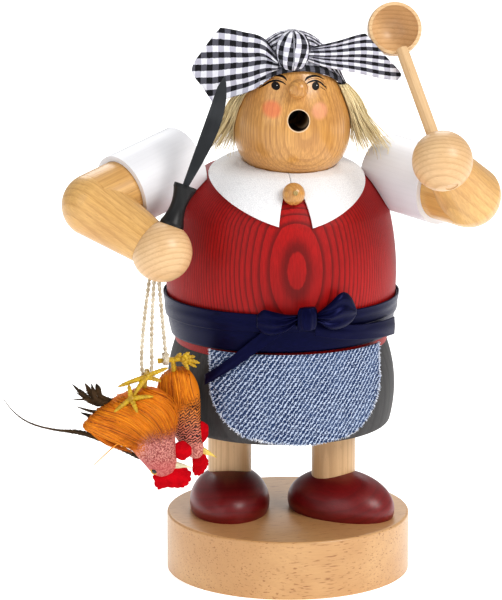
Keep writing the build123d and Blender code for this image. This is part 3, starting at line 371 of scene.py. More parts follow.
# Which wood each turned piece is, with its pith and the way its fibres run
turnedPieces = (
    ("base", "block", (10, -120, 60), (1, 0.12, 0)),
    ("leg_left", "beech", (-40, 40, 0), (0, 0, 1)),
    ("leg_right", "beech", (40, 30, 0), (0, 0, 1)),
    ("neck_tube", "beech", (20, 30, 0), (0, 0, 1)),
    ("shoulder_dowel_left", "beech", (0, 30, 140), (1, 0, 0)),
    ("shoulder_dowel_right", "beech", (0, 30, 140), (1, 0, 0)),
    ("hand_left", "beech", (-56, -10, 190), (1, 0.25, 0.05)),
    ("hand_right", "beech", (40, -20, 230), (1, -0.3, 0.1)),
    ("spoon_handle", "beech", (20, 20, 200), (-0.196, 0.617, 0.762)),
    ("spoon_bowl", "beech", (50, -10, 262), (1, 0.1, -0.05)),
    ("nose", "honey", (10, -20, 212), (0.1, 0, 1)),
    ("collar_bead", "honey", (10, -25, 165), (0.2, 0, 1)),
    ("upper_arm_left", "golden", (-60, 20, 190), (-0.828, -0.498, -0.257)),
    ("upper_arm_right", "golden", (60, 10, 190), (0.562, -0.823, -0.084)),
    ("forearm_left", "golden", (-70, 0, 190), (0.78, -0.52, -0.5)),
    ("forearm_right", "golden", (80, -20, 200), (-0.45, -0.58, 0.55)),
    ("torso", "red", (6.2, 253.76, 112.4), (0, 0, 1)),
    ("skirt", "grey", (10, 90, 0), (0, 0, 1)),
    ("sleeve_left", "white", (-60, 20, 200), (-0.828, -0.498, -0.257)),
    ("sleeve_right", "white", (60, 10, 200), (0.562, -0.823, -0.084)),
    ("shoe_left", "darkRed", (-20, 20, -10), (-0.15, -1, 0)),
    ("shoe_right", "darkRed", (20, 20, -10), (0.65, -0.75, 0)),
    ("knife_handle", "black", (-70, -20, 150), (0.364, 0.1505, 0.919)),
)


def dress(node, material):
    # The finish goes on the object's own slot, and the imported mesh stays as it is
    for slot in nodes[node].material_slots:
        slot.link = "OBJECT"
        slot.material = material


for node, wood, pith, along in turnedPieces:
    dress(node, makeWood(f"{node}Wood", pith, along, woodLooks[wood])[0])


# Face: lacquered vertical grain with two soft blushes, a pale rim round the mouth and painted shade in the
# mouth's bore
face = {
    "cheeks": (((-11.0, 195.9), 3.3, (0.72, 0.13, 0.035, 1), 0.62),
               ((7.9, 195.1), 3.2, (0.84, 0.36, 0.24, 1), 0.5)),
    "mouth": (-0.9, 191.55),
    "mouthRadius": 4.25,
    "front": -18,
    "throatBack": 10,
}


def softSpot(tree, parts, centre, radius, softness, back=face["front"]):
    # One inside a round spot before a depth, and zero outside it
    side = calc(tree, "SUBTRACT", parts["X"], centre[0] * mm)
    rise = calc(tree, "SUBTRACT", parts["Z"], centre[1] * mm)
    reach = calc(tree, "SQRT", calc(tree, "MULTIPLY_ADD", side, side, calc(tree, "MULTIPLY", rise, rise)))
    spot = between(tree, reach, radius * (1 - softness) * mm, radius * (1 + softness) * mm, 1, 0)
    return calc(tree, "MULTIPLY", spot, calc(tree, "LESS_THAN", parts["Y"], back * mm))


def makeHeadWood():
    material, tree, shader, colour = makeWood("headWood", (-10, 120, 184), (0.02, 0, 1), woodLooks["honey"])
    parts = partsOf(tree, objectPlace(tree))
    for centre, radius, blush, share in face["cheeks"]:
        spot = softSpot(tree, parts, centre, radius, 0.35)
        colour = tinted(tree, colour, blush, spot, share)
    rim = softSpot(tree, parts, face["mouth"], face["mouthRadius"] + 0.35, 0.03)
    colour = tinted(tree, colour, (0.86, 0.70, 0.50, 1), rim, 0.7)
    # Painted shade: the inside of the mouth's bore, behind its rim, is coloured near black where the hole lies
    # in shade
    throatShade = softSpot(tree, parts, face["mouth"], face["mouthRadius"] + 0.12, 0.01, face["throatBack"])
    deep = between(tree, parts["Y"], -28.5 * mm, -27.7 * mm)
    colour = tinted(tree, colour, (0.012, 0.002, 0.002, 1), throatShade, deep)
    tree.links.new(colour, shader.inputs["Base Color"])
    return material


dress("head", makeHeadWood())
print("wood: turned pieces finished")


# Metal
def makeMetal(name, colour, roughness, along, scratch):
    material, tree, shader = startMaterial(name, Metallic=1.0)
    place = grainPlace(tree, (0, 0, 0), along)
    brushed = noiseOf(tree, stretched(tree, place, (1, 1, 0.02)), 2600, 3)
    dull = shadeOf(tree, place, 90.0)
    worn = mixColours(tree, dull["Patches"], colour, [part * 0.72 for part in colour[:3]] + [1])
    colour = mixColours(tree, calc(tree, "MULTIPLY", brushed, 0.5), worn, (0.5, 0.5, 0.5, 1), "OVERLAY")
    uneven = between(tree, brushed, 0.2, 0.8, roughness - 0.08, roughness + 0.1)
    tree.links.new(uneven, shader.inputs["Roughness"])
    finishMaterial(tree, shader, colour, brushed, scratch, 0.03 * mm)
    return material


dress("knife_blade", makeMetal("bladeSteel", (0.078, 0.082, 0.088, 1), 0.42, (0.364, 0.1505, 0.919), 0.5))
dress("burner_plate", makeMetal("plateMetal", (0.55, 0.50, 0.42, 1), 0.4, (1, 0, 0), 0.4))
for pin in ("plate_pin", "bead_pin"):
    dress(pin, makeMetal(f"{pin}Brass", (0.75, 0.55, 0.25, 1), 0.28, (0, 0, 1), 0.2))
print("metal: blade, plate and pins finished")


# Mesh helpers
def makePiece(name, points, faces, material, body, slot):
    mesh = bpy.data.meshes.new(name)
    mesh.from_pydata([tuple(point) for point in points], [], faces)
    mesh.materials.append(material)
    for polygon in mesh.polygons:
        polygon.use_smooth = True
    piece = bpy.data.objects.new(name, mesh)
    bpy.context.scene.collection.objects.link(piece)
    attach(piece, body)
    return piece


def gridFaces(rows, columns, closed=False):
    faces = []
    for row in range(rows - 1):
        for column in range(columns if closed else columns - 1):
            after = (column + 1) % columns
            faces.append((row * columns + column, row * columns + after,
                          (row + 1) * columns + after, (row + 1) * columns + column))
    return faces


def closedFaces(rows, columns):
    # A closed tube with both of its ends covered
    last = (rows - 1) * columns
    return gridFaces(rows, columns, True) + [tuple(reversed(range(columns))),
                                             tuple(range(last, last + columns))]


def addFaces(target, start, faces):
    target[1].extend([tuple(start + index for index in face) for face in faces])


def thicken(piece, thickness):
    shell = piece.modifiers.new("thickness", "SOLIDIFY")
    shell.thickness = thickness
    shell.offset = 0


def giveCloth(piece, cloth, thickness=None):
    # Gives each point its place on the cloth, in metres, and the cloth its thickness
    layer = piece.data.uv_layers.new(name="cloth")
    for loop in piece.data.loops:
        layer.data[loop.index].uv = cloth[loop.vertex_index]
    if thickness:
        thicken(piece, thickness)


def makeCloth(name, place, fabric, rows, columns, material, body, slot, thickness):
    # A sheet from place(u, v), whose place on the cloth comes from fabric(u, v)
    shares = [(row / (rows - 1), column / (columns - 1)) for row in range(rows) for column in range(columns)]
    points = [place(*share) for share in shares]
    piece = makePiece(name, points, gridFaces(rows, columns), material, body, slot)
    giveCloth(piece, [fabric(*share) for share in shares], thickness)
    return piece


def makeWrap(name, spot, rows, columns, material, slot, thickness=None, ends="open"):
    # A form round an axis: spot(share, turn) gives each point and its place on the cloth
    spots = [spot(row / (rows - 1), 2 * math.pi * column / columns)
             for row in range(rows) for column in range(columns)]
    faces = closedFaces(rows, columns) if ends == "closed" else gridFaces(rows, columns, True)
    if ends == "crown":
        faces = faces + [tuple(range(columns))]
    piece = makePiece(name, [point for point, place in spots], faces, material, figure["upper"], slot)
    giveCloth(piece, [place for point, place in spots], thickness)
    return piece


def alongList(pairs, share):
    # A smooth value from a short list of (share, value)
    for index in range(len(pairs) - 1):
        start, end = pairs[index], pairs[index + 1]
        if share <= end[0] or index == len(pairs) - 2:
            before = pairs[max(index - 1, 0)]
            after = pairs[min(index + 2, len(pairs) - 1)]
            span = max(end[0] - start[0], 1e-9)
            part = min(max((share - start[0]) / span, 0), 1)
            startSlope = (end[1] - before[1]) / max(end[0] - before[0], 1e-9) * span
            endSlope = (after[1] - start[1]) / max(after[0] - start[0], 1e-9) * span
            return ((2 * part**3 - 3 * part**2 + 1) * start[1] + (part**3 - 2 * part**2 + part) * startSlope
                    + (3 * part**2 - 2 * part**3) * end[1] + (part**3 - part**2) * endSlope)


def treeOf(*names):
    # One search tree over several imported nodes
    points, faces = [], []
    for name in names:
        start = len(points)
        points += [vertex.co.copy() for vertex in nodes[name].data.vertices]
        faces += [[start + index for index in polygon.vertices] for polygon in nodes[name].data.polygons]
    return BVHTree.FromPolygons(points, faces)


def pushClear(point, tree, gap):
    # Moves a point out of a solid until it is at least the gap away
    near, normal, index, distance = tree.find_nearest(point)
    if near is None:
        return point
    inside = (point - near).dot(normal) < 0
    if inside or distance < gap:
        return near + normal * gap
    return point


def frameAlong(points):
    # Directions across a line, carried along it without twist
    neighbours = zip([points[0], *points[:-1]], [*points[1:], points[-1]])
    tangents = [(after - before).normalized() for before, after in neighbours]
    across = tangents[0].orthogonal().normalized()
    frames = []
    for tangent in tangents:
        across = (across - tangent * across.dot(tangent)).normalized()
        frames.append((across, tangent.cross(across)))
    return frames


def addTube(points, radii, corners, target, wide=1.0, turn=0.0, twist=0.0, offset=0.0):
    # Adds a closed tube to target = (points, faces); an offset and a twist make it a strand of a rope
    start = len(target[0])
    count = len(points)
    for index, (point, (first, second)) in enumerate(zip(points, frameAlong(points))):
        spin = turn + twist * index / max(count - 1, 1)
        centre = point + (first * math.cos(spin) + second * math.sin(spin)) * offset
        for corner in range(corners):
            angle = 2 * math.pi * corner / corners
            arm = first * math.cos(angle) * wide + second * math.sin(angle)
            target[0].append(centre + arm * radii[index])
    addFaces(target, start, closedFaces(count, corners))


def spansOf(points):
    # How far along the line each point lies
    spans = [0.0]
    for before, after in zip(points, points[1:]):
        spans.append(spans[-1] + (after - before).length)
    return spans


def bentLine(points, steps):
    # A smooth line through a few points, evenly divided
    spans = spansOf(points)
    axes = [[(span / spans[-1], point[axis]) for span, point in zip(spans, points)] for axis in range(3)]
    return [Vector([alongList(pairs, step / (steps - 1)) for pairs in axes]) for step in range(steps)]


# Fowl: their own upright plane below the left hand, seen from the front left
fowlPlane = {
    "origin": Vector((-59.959, -35.084, 130.213)) * mm,
    "right": Vector((0.98769, -0.15643, 0)),
    "front": Vector((-0.15643, -0.98769, 0)),
    "unit": 10 * mm,
}


def fowlSpot(right, rise, front):
    unit = fowlPlane["unit"]
    return (fowlPlane["origin"] + fowlPlane["right"] * (right * unit) + up * (rise * unit)
            + fowlPlane["front"] * (front * unit))


# Twine: two plies laid together along a smooth line
twine = {
    "diameter": 1.6 * mm,
    "lay": 4.6 * mm,
    "near": ((-0.16, 0.14, 0.0), (-0.46, -1.9, 0.1), (-0.54, -3.95, 0.2), (-0.07, -3.95, 0.2),
             (-0.13, -2.0, 0.1),
             (0.02, 0.14, 0.0)),
    "far": ((0.18, 0.14, -0.04), (0.32, -1.7, -0.3), (0.44, -3.17, -0.5)),
    "nearLength": 85 * mm,
    "farLength": 33.8 * mm,
    "tie": (0.44, -3.3, -0.5),
    "tieRadius": 1.85 * mm,
    "tieTurns": 3,
    "tieWidth": 3.2 * mm,
    "fuzz": 60,
    "spacing": 0.3 * mm,
}


def makeTwineMaterial():
    material, tree, shader = startMaterial("twineFibre", Roughness=0.85)
    place = objectPlace(tree)
    shade = shadeOf(tree, place, 260.0)
    colour = mixColours(tree, shade["Patches"], (0.76, 0.69, 0.56, 1), (0.50, 0.41, 0.29, 1))
    colour = mixColours(tree, between(tree, shade["Grit"], 0.5, 0.72), colour, (0.28, 0.21, 0.13, 1))
    finishMaterial(tree, shader, colour, shade["Grit"], 0.6, 0.12 * mm)
    return material


def splinePoints(places):
    # The route's own smooth line, as a curve with no thickness gives it
    curve = bpy.data.curves.new("route", "CURVE")
    curve.dimensions = "3D"
    curve.resolution_u = 24
    spline = curve.splines.new("NURBS")
    spline.points.add(len(places) - 1)
    for point, place in zip(spline.points, places):
        point.co = (*place, 1)
    spline.order_u = 3
    spline.use_endpoint_u = True
    route = bpy.data.objects.new("route", curve)
    bpy.context.scene.collection.objects.link(route)
    bpy.context.view_layer.update()
    mesh = bpy.data.meshes.new_from_object(route)
    points = [vertex.co.copy() for vertex in mesh.vertices]
    bpy.data.meshes.remove(mesh)
    bpy.data.objects.remove(route)
    bpy.data.curves.remove(curve)
    return points


def lengthOf(points):
    return spansOf(points)[-1]


def layTwine(name, points, material):
    target = ([], [])
    ply = twine["diameter"] / 4
    twist = 2 * math.pi * lengthOf(points) / twine["lay"]
    for turn in (0, math.pi):
        addTube(points, [ply * 1.12] * len(points), 10, target, turn=turn, twist=twist, offset=ply)
    for hair in range(twine["fuzz"]):
        index = random.randrange(2, len(points) - 2)
        lean = Vector([random.uniform(-1, 1) for axis in range(3)]).normalized()
        start = points[index] + lean * twine["diameter"] * 0.42
        end = start + lean * random.uniform(0.3, 0.9) * mm + Vector((0, 0, random.uniform(-1, 1))) * mm
        addTube([start, (start + end) / 2 + lean * 0.1 * mm, end], [0.05 * mm, 0.04 * mm, 0.02 * mm], 3,
                target)
    return makePiece(name, target[0], target[1], material, figure["fowl"], "twine")


def evenly(points, step):
    # The same line with evenly spaced points
    spans = spansOf(points)
    count = max(int(spans[-1] / step), 4)
    result, index = [], 0
    for number in range(count + 1):
        goal = spans[-1] * number / count
        while index < len(points) - 2 and spans[index + 1] < goal:
            index += 1
        part = (goal - spans[index]) / max(spans[index + 1] - spans[index], 1e-12)
        result.append(points[index].lerp(points[index + 1], part))
    return result


def makeTwine():
    material = makeTwineMaterial()
    nearLine = evenly(splinePoints([fowlSpot(*share) for share in twine["near"]]), twine["spacing"])
    farLine = evenly(splinePoints([fowlSpot(*share) for share in twine["far"]]), twine["spacing"])
    print("twine lengths", round(lengthOf(nearLine) / mm, 1), round(lengthOf(farLine) / mm, 1))
    near = layTwine("twineNear", nearLine, material)
    far = layTwine("twineFar", farLine, material)
    centre = fowlSpot(*twine["tie"])
    turns = []
    steps = twine["tieTurns"] * 24
    for step in range(steps + 1):
        share = step / steps
        angle = 2 * math.pi * twine["tieTurns"] * share + math.pi / 2
        arm = up * math.sin(angle) + fowlPlane["front"] * math.cos(angle)
        turns.append(centre + arm * twine["tieRadius"]
                     + fowlPlane["right"] * (share - 0.5) * (twine["tieWidth"] - twine["diameter"]))
    tie = layTwine("twineTie", evenly(turns, twine["spacing"]), material)
    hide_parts("twine_near")
    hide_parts("twine_far")
    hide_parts("twine_tie")


makeTwine()
print("twine: two cords and the tie")


# Gingham, satin, leather and denim
gingham = {
    "check": 4.9 * mm,
    "thread": 0.42 * mm,
    "white": (0.84, 0.84, 0.90, 1),
    "pale": (0.46, 0.45, 0.54, 1),
    "dark": (0.060, 0.060, 0.075, 1),
    "black": (0.006, 0.006, 0.008, 1),
    "thickness": 0.35 * mm,
}


def makeGingham(name, check):
    material, tree, shader = startMaterial(name, Roughness=0.9, Specular_IOR_Level=0.12)
    place = clothPlace(tree)
    weave = useGroup(tree, weaveGroup, Place=place, Thread=gingham["thread"])
    frayed = calc(tree, "MULTIPLY", calc(tree, "SUBTRACT", weave["Slub"], 0.5), 0.5 * mm)
    parts = partsOf(tree, place)
    stripes = []
    for axis in ("X", "Y"):
        phase = calc(tree, "FRACT", calc(tree, "DIVIDE", calc(tree, "ADD", parts[axis], frayed), check))
        stripes.append(calc(tree, "GREATER_THAN", phase, 0.5))
    threads = calc(tree, "MULTIPLY", weave["Height"], 0.3)
    crossed = mixColours(tree, threads, gingham["pale"], gingham["white"])
    along = mixColours(tree, threads, gingham["dark"], gingham["pale"])
    light = mixColours(tree, stripes[0], gingham["white"], crossed)
    dark = mixColours(tree, stripes[0], along, gingham["black"])
    colour = mixColours(tree, stripes[1], light, dark)
    worn = shadeOf(tree, objectPlace(tree), 120.0)
    colour = tinted(tree, colour, (0.45, 0.44, 0.48, 1), worn["Grit"], 0.06)
    finishMaterial(tree, shader, colour, weave["Height"], 0.7, 0.12 * mm)
    return material


ginghamCloth = makeGingham("ginghamCloth", gingham["check"])
ginghamCap = makeGingham("ginghamCap", gingham["check"] * 0.8)


satinLook = {
    "dark": (0.001, 0.001, 0.009, 1),
    "light": (0.003, 0.003, 0.026, 1),
    "shine": (0.25, 0.28, 0.85, 1),
    "roughness": (0.28, 0.46),
}


def makeSatin():
    material, tree, shader = startMaterial("navySatin", Roughness=0.34, Specular_IOR_Level=0.3,
                                           Specular_Tint=satinLook["shine"])
    threads = noiseOf(tree, stretched(tree, clothPlace(tree), (0.06, 1, 1)), 5200, 2)
    colour = mixColours(tree, between(tree, threads, 0.35, 0.65), satinLook["dark"], satinLook["light"])
    tree.links.new(between(tree, threads, 0.2, 0.8, *satinLook["roughness"]), shader.inputs["Roughness"])
    finishMaterial(tree, shader, colour, threads, 0.35, 0.06 * mm)
    return material


def makeLeather():
    material, tree, shader = startMaterial("whiteLeather", Roughness=0.62, Coat_Weight=0.08)
    place = objectPlace(tree)
    pebbles = addNode(tree, "ShaderNodeTexVoronoi", {"feature": "DISTANCE_TO_EDGE"}, Vector=place,
                      Scale=1500.0)
    height = between(tree, pebbles.outputs["Distance"], 0.0, 0.22)
    shade = shadeOf(tree, place, 70.0)
    # Painted shade: the colour follows the grain's height, so the grooves between the pebbles are darker
    colour = mixColours(tree, height, (0.76, 0.76, 0.78, 1), (0.92, 0.92, 0.93, 1))
    colour = tinted(tree, colour, (0.74, 0.74, 0.76, 1), shade["Patches"], 0.15)
    finishMaterial(tree, shader, colour, height, 0.45, 0.15 * mm)
    return material


denimLook = {
    "twill": 1.75 * mm,
    "weft": 0.95 * mm,
    "pale": (0.52, 0.60, 0.76, 1),
    "deep": (0.014, 0.032, 0.095, 1),
    "faded": (0.15, 0.22, 0.38, 1),
    "speck": (0.80, 0.85, 0.93, 1),
}


def threadWave(tree, value, pitch):
    # Rounded threads side by side, one for each pitch
    return calc(tree, "ABSOLUTE", calc(tree, "SINE", calc(tree, "MULTIPLY", value, math.pi / pitch)))


def makeDenim():
    material, tree, shader = startMaterial("denimCloth", Roughness=0.92, Specular_IOR_Level=0.15)
    place = clothPlace(tree)
    parts = partsOf(tree, place)
    slub = noiseOf(tree, stretched(tree, place, (1, 0.5, 1)), 700, 4, 0.65)
    slant = calc(tree, "MULTIPLY_ADD", parts["Y"], -0.7, parts["X"])
    bent = calc(tree, "MULTIPLY_ADD", slub, 2.2 * mm, slant)
    twill = threadWave(tree, bent, denimLook["twill"])
    weft = threadWave(tree, parts["Y"], denimLook["weft"])
    dots = calc(tree, "MULTIPLY", twill, calc(tree, "MULTIPLY_ADD", weft, 0.55, 0.45))
    faded = noiseOf(tree, place, 90, 3)
    broken = calc(tree, "MULTIPLY_ADD", calc(tree, "SUBTRACT", noiseOf(tree, place, 1500, 3, 0.7), 0.5), 1.5,
                  dots)
    colour = mixColours(tree, between(tree, broken, 0.2, 0.45), denimLook["pale"], denimLook["deep"])
    colour = tinted(tree, colour, denimLook["faded"], between(tree, faded, 0.35, 0.75), 0.22)
    speck = noiseOf(tree, place, 2600, 2)
    colour = mixColours(tree, between(tree, speck, 0.60, 0.70), colour, denimLook["speck"])
    finishMaterial(tree, shader, colour, calc(tree, "ADD", dots, slub), 0.8, 0.22 * mm)
    return material


# Kerchief: cap, band knot and two ends that leave the knot in gathers
kerchief = {
    "knot": Vector((-2.3, -22.7, 218.65)) * mm,
    "knotWidth": 13.2 * mm,
    "knotHeight": 16 * mm,
    "knotDepth": 9.5 * mm,
    "eggWide": 23.4 * mm,
    "eggWaist": 182.25 * mm,
    "eggTop": 41.3 * mm,
    "capSkin": 0.85 * mm,
    "edgeHeight": 193.95 * mm,
    "edgeSlope": 43,
    "hemLift": 0.075,
    "width": 29 * mm,
}
kerchiefEnds = {
    "kerchiefEndLeft": {
        "node": "kerchief_end_left", "sign": -1, "turn": 18.4, "length": 35 * mm,
        "upper": ((0, -0.08), (0.17, 0.14), (0.4, 0.21), (0.67, 0.25), (1.0, 0.24)),
        "lower": ((0, -0.24), (0.28, -0.44), (0.57, -0.55), (0.75, -0.6), (1.0, -0.62)),
        "reach": ((0, 0.76), (0.2, 0.87), (0.45, 1.0), (0.75, 0.84), (1.0, 0.67)),
        "pleats": 2.4, "shift": 0.5, "sway": 0.5, "cut": 0.8,
    },
    "kerchiefEndRight": {
        "node": "kerchief_end_right", "sign": 1, "turn": 1.2, "length": 38 * mm,
        "upper": ((0, 0.03), (0.3, 0.09), (0.59, 0.16), (0.8, 0.16), (1.0, 0.14)),
        "lower": ((0, -0.1), (0.18, -0.17), (0.53, -0.25), (0.83, -0.32), (1.0, -0.34)),
        "reach": ((0, 0.96), (0.15, 1.0), (0.6, 0.79), (1.0, 0.62)),
        "pleats": 2.1, "shift": 0.1, "sway": -0.5, "cut": 0.55,
    },
}


def capPoint(turn, lift, skin):
    # A point over the head's egg: turn round it, lift from its widest level, skin out of it
    reach = (kerchief["eggWide"] + skin) * math.cos(lift)
    return Vector((headAxis.x + reach * math.sin(turn), headAxis.y - reach * math.cos(turn),
                   kerchief["eggWaist"] + (kerchief["eggTop"] + skin) * math.sin(lift)))


@cache
def capEdge(turn):
    # The lift at which the tilted plane of the cap's edge cuts the egg
    low, high = -0.9, math.pi / 2
    for step in range(30):
        middle = (low + high) / 2
        point = capPoint(turn, middle, 0)
        edge = kerchief["edgeHeight"] - (point.y - headAxis.y) * math.tan(math.radians(kerchief["edgeSlope"]))
        if point.z > edge:
            high = middle
        else:
            low = middle
    return high


def makeCap():
    crown = math.pi / 2 - 0.012

    def spot(share, turn):
        lift = crown - (crown - capEdge(turn)) * share
        crease = math.sin(turn * 17 + 2.2 * math.sin(turn * 3)) * 0.5 + math.sin(turn * 29 + 1.3) * 0.3
        hem = math.exp(-(((share - 0.93) / 0.05) ** 2)) * 0.28 * mm
        skin = kerchief["capSkin"] + crease * 0.26 * mm * min(share * 2.2, 1) + hem
        skin += noise.noise(Vector((math.sin(turn) * 3, math.cos(turn) * 3, share * 5))) * 0.16 * mm
        arc = (math.pi / 2 - lift) * 33 * mm
        fabric = (arc * math.sin(turn) * 1.02 + 1.1 * mm, arc * math.cos(turn) * 1.02)
        return capPoint(turn, lift, skin), fabric

    piece = makeWrap("kerchiefCap", spot, 46, 144, ginghamCap, "gingham", 0.7 * mm, "crown")
    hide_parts("kerchief_cap")
    return piece


def makeHem():
    # The cap's edge is turned up in a narrow band that shows one dark row of the check
    def spot(share, turn):
        lift = capEdge(turn) - 0.012 + kerchief["hemLift"] * share
        skin = kerchief["capSkin"] + 0.62 * mm + 0.4 * mm * math.sin(math.pi * share)
        skin += 0.14 * mm * math.sin(turn * 13 + share * 2)
        return capPoint(turn, lift, skin), (turn * 22 * mm, gingham["check"] * (0.55 + 0.4 * share))

    return makeWrap("kerchiefHem", spot, 9, 144, ginghamCloth, "gingham", 0.45 * mm)


def makeKnot():
    # A band folded over in front: a swollen loop with lengthwise gathers
    profile = ((-1.0, 0.3), (-0.8, 0.68), (-0.35, 0.95), (0.1, 1.0), (0.5, 0.9), (0.85, 0.62), (1.0, 0.3))

    def spot(share, turn):
        rise = -1 + 2 * share
        width = alongList(profile, rise)
        gather = 1 + 0.045 * math.sin(turn * 9 + rise * 0.8) + 0.03 * math.sin(turn * 17)
        point = kerchief["knot"] + Vector((
            kerchief["knotWidth"] / 2 * width * gather * math.sin(turn),
            -kerchief["knotDepth"] / 2 * width * gather * math.cos(turn) - 0.4 * mm * (1 - rise**2),
            kerchief["knotHeight"] / 2 * rise,
        ))
        return point, (rise * 10.5 * mm + turn * 1.2 * mm, (turn - math.pi) * 6.2 * mm - rise * 1.6 * mm)

    piece = makeWrap("kerchiefKnot", spot, 44, 72, ginghamCloth, "gingham", ends="closed")
    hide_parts("kerchief_knot")


def makeKerchiefEnd(name, end):
    turn = math.radians(end["turn"])
    outward = Vector((end["sign"] * math.cos(turn), math.sin(turn), 0))
    facing = outward.cross(up) * end["sign"]
    if facing.y > 0:
        facing = -facing
    start = kerchief["knot"] + Vector((end["sign"] * (kerchief["knotWidth"] / 2 - 0.8 * mm), 0, 0))

    def place(across, out):
        along = min(out * alongList(end["reach"], across), 1)
        low, high = alongList(end["lower"], along), alongList(end["upper"], along)
        rise = low + (high - low) * across
        gather = 1.35 * mm * max(1 - along, 0) ** 1.6 + 0.32 * mm
        fold = gather * math.sin(2 * math.pi * (end["pleats"] * across + end["shift"]))
        sway = end["sway"] * mm * math.sin(along * 4.2) + 0.35 * mm * math.sin(along * 9 + across * 5)
        run = outward * (along * end["length"]) + up * (rise * end["length"])
        return start + run + facing * (fold + sway)

    def fabric(across, out):
        along = out * alongList(end["reach"], across)
        return along * end["length"] * 1.02, across * kerchief["width"]

    piece = makeCloth(name, place, fabric, 56, 64, ginghamCloth, figure["upper"], "gingham",
                      gingham["thickness"])
    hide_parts(end["node"])
    return piece


def makeKerchief():
    cap = makeCap()
    makeKnot()
    makeHem()
    for name, end in kerchiefEnds.items():
        piece = makeKerchiefEnd(name, end)


makeKerchief()
print("kerchief: cap, knot and two ends")


# Collar: leather laid on the shoulders, with a notch in front
collar = {
    "radius": 31 * mm,
    "forward": 13.2 * mm,
    "thickness": 0.9 * mm,
    "lift": 0.75 * mm,
    "inner": 14.5 * mm,
    "notchSide": -1.6 * mm,
    "notchRoot": 1.6 * mm,
    "notchTip": 6.8 * mm,
    "notchForward": 33 * mm,
    "rimForward": 44 * mm,
    "notchOpens": 3 * mm,
    "seamGap": 0.12 * mm,
    "headGap": 0.15 * mm,
    "softEdge": 0.25 * mm,
}
torsoTree = treeOf("torso")
headTree = treeOf("head")


def onTorso(side, forward, lift):
    # A point on the shoulders below a place in plan, lifted off the wood along its normal
    start = Vector((figure["side"] * mm + side, figure["back"] * mm - forward, 0.2))
    point, normal, index, distance = torsoTree.ray_cast(start, -up)
    return None if point is None else point + normal * lift


def collarPlan(turn, share):
    # A place in plan on the collar: turned round the neck, between its inner edge and its rim
    centre = Vector((headAxis.x - figure["side"] * mm, figure["back"] * mm - headAxis.y))
    direction = Vector((math.sin(turn), math.cos(turn)))
    toCentre = centre - Vector((0, collar["forward"]))
    aim = toCentre.dot(direction)
    reach = -aim + math.sqrt(aim**2 - toCentre.length_squared + collar["radius"] ** 2)
    return centre + direction * (collar["inner"] + (reach - collar["inner"]) * share)


def notchTurn(sign, share):
    # The turn at which a row of the collar meets its notch on one side
    low, high = -0.6, 1.0
    for step in range(24):
        middle = (low + high) / 2
        plan = collarPlan(sign * middle, share)
        beyond = plan.y - collar["notchForward"]
        past = min(max(beyond / (collar["rimForward"] - collar["notchForward"]), 0), 1)
        opened = min(max(beyond / collar["notchOpens"], 0), 1)
        half = collar["notchRoot"] + (collar["notchTip"] - collar["notchRoot"]) * past
        half = collar["seamGap"] + half * opened
        if (plan.x - collar["notchSide"]) * sign < half:
            low = middle
        else:
            high = middle
    return high


def makeCollar():
    rows, columns = 30, 180
    points = []
    for row in range(rows):
        share = row / (rows - 1)
        # Each row goes round the neck from one side of the notch to the other
        first, last = notchTurn(1, share), 2 * math.pi - notchTurn(-1, share)
        for column in range(columns):
            plan = collarPlan(first + (last - first) * column / (columns - 1), share)
            wave = noise.noise(Vector((plan.x, plan.y, 0)) * 90) * 0.15 * mm
            point = onTorso(plan.x, plan.y, collar["lift"] + wave)
            if point is None:
                point = onTorso(plan.x * 0.98, plan.y * 0.98, collar["lift"])
            points.append(pushClear(point, headTree, collar["thickness"] / 2 + collar["headGap"]))
    piece = makePiece("collar", points, gridFaces(rows, columns), makeLeather(), figure["upper"],
                      "white_leather")
    thicken(piece, collar["thickness"])
    rounded = piece.modifiers.new("softEdge", "BEVEL")
    rounded.width = collar["softEdge"]
    rounded.segments = 2
    rounded.limit_method = "ANGLE"
    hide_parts("collar")


makeCollar()
print("collar: leather laid on the shoulders")


# Waist ribbon and bow
satin = makeSatin()
ribbon = {
    "low": 99.65 * mm,
    "high": 116.25 * mm,
    "lap": 108.05 * mm,
    "layer": 0.7 * mm,
    "gap": 0.2 * mm,
    "bowSide": 1.8 * mm,
    "bowHeight": 115.45 * mm,
    "bowUnit": 10 * mm,
    "tailRadius": 49.35 * mm,
    "loopRadius": 50.0 * mm,
    "loopDepth": 3.3 * mm,
    "probe": 0.09,
}
axisPlace = Vector((figure["side"] * mm, figure["back"] * mm, 0))


@cache
def torsoReach(turn, height):
    # How far the torso's wood is from the figure's axis
    direction = Vector((math.sin(turn), -math.cos(turn), 0))
    start = axisPlace + up * height + direction * ribbon["probe"]
    point, normal, index, distance = torsoTree.ray_cast(start, -direction)
    return ribbon["probe"] - distance


def makeRibbonWrap(name, low, high, layer, slant):
    def spot(share, turn):
        height = low + (high - low) * share + slant * math.sin(turn + 0.9) * (1 - share) * mm
        swirl = math.sin(share * 9 + math.sin(turn * 2 + 0.4) * 2.4)
        crease = 0.13 * mm * swirl * math.sin(math.pi * share)
        reach = torsoReach(0, low + (high - low) * share)
        radius = reach + ribbon["gap"] + ribbon["layer"] * (layer + 0.5) + crease
        point = axisPlace + Vector((radius * math.sin(turn), -radius * math.cos(turn), height))
        return point, (turn * 47 * mm, height)

    return makeWrap(name, spot, 22, 220, satin, "navy_satin", ribbon["layer"] * 0.8)


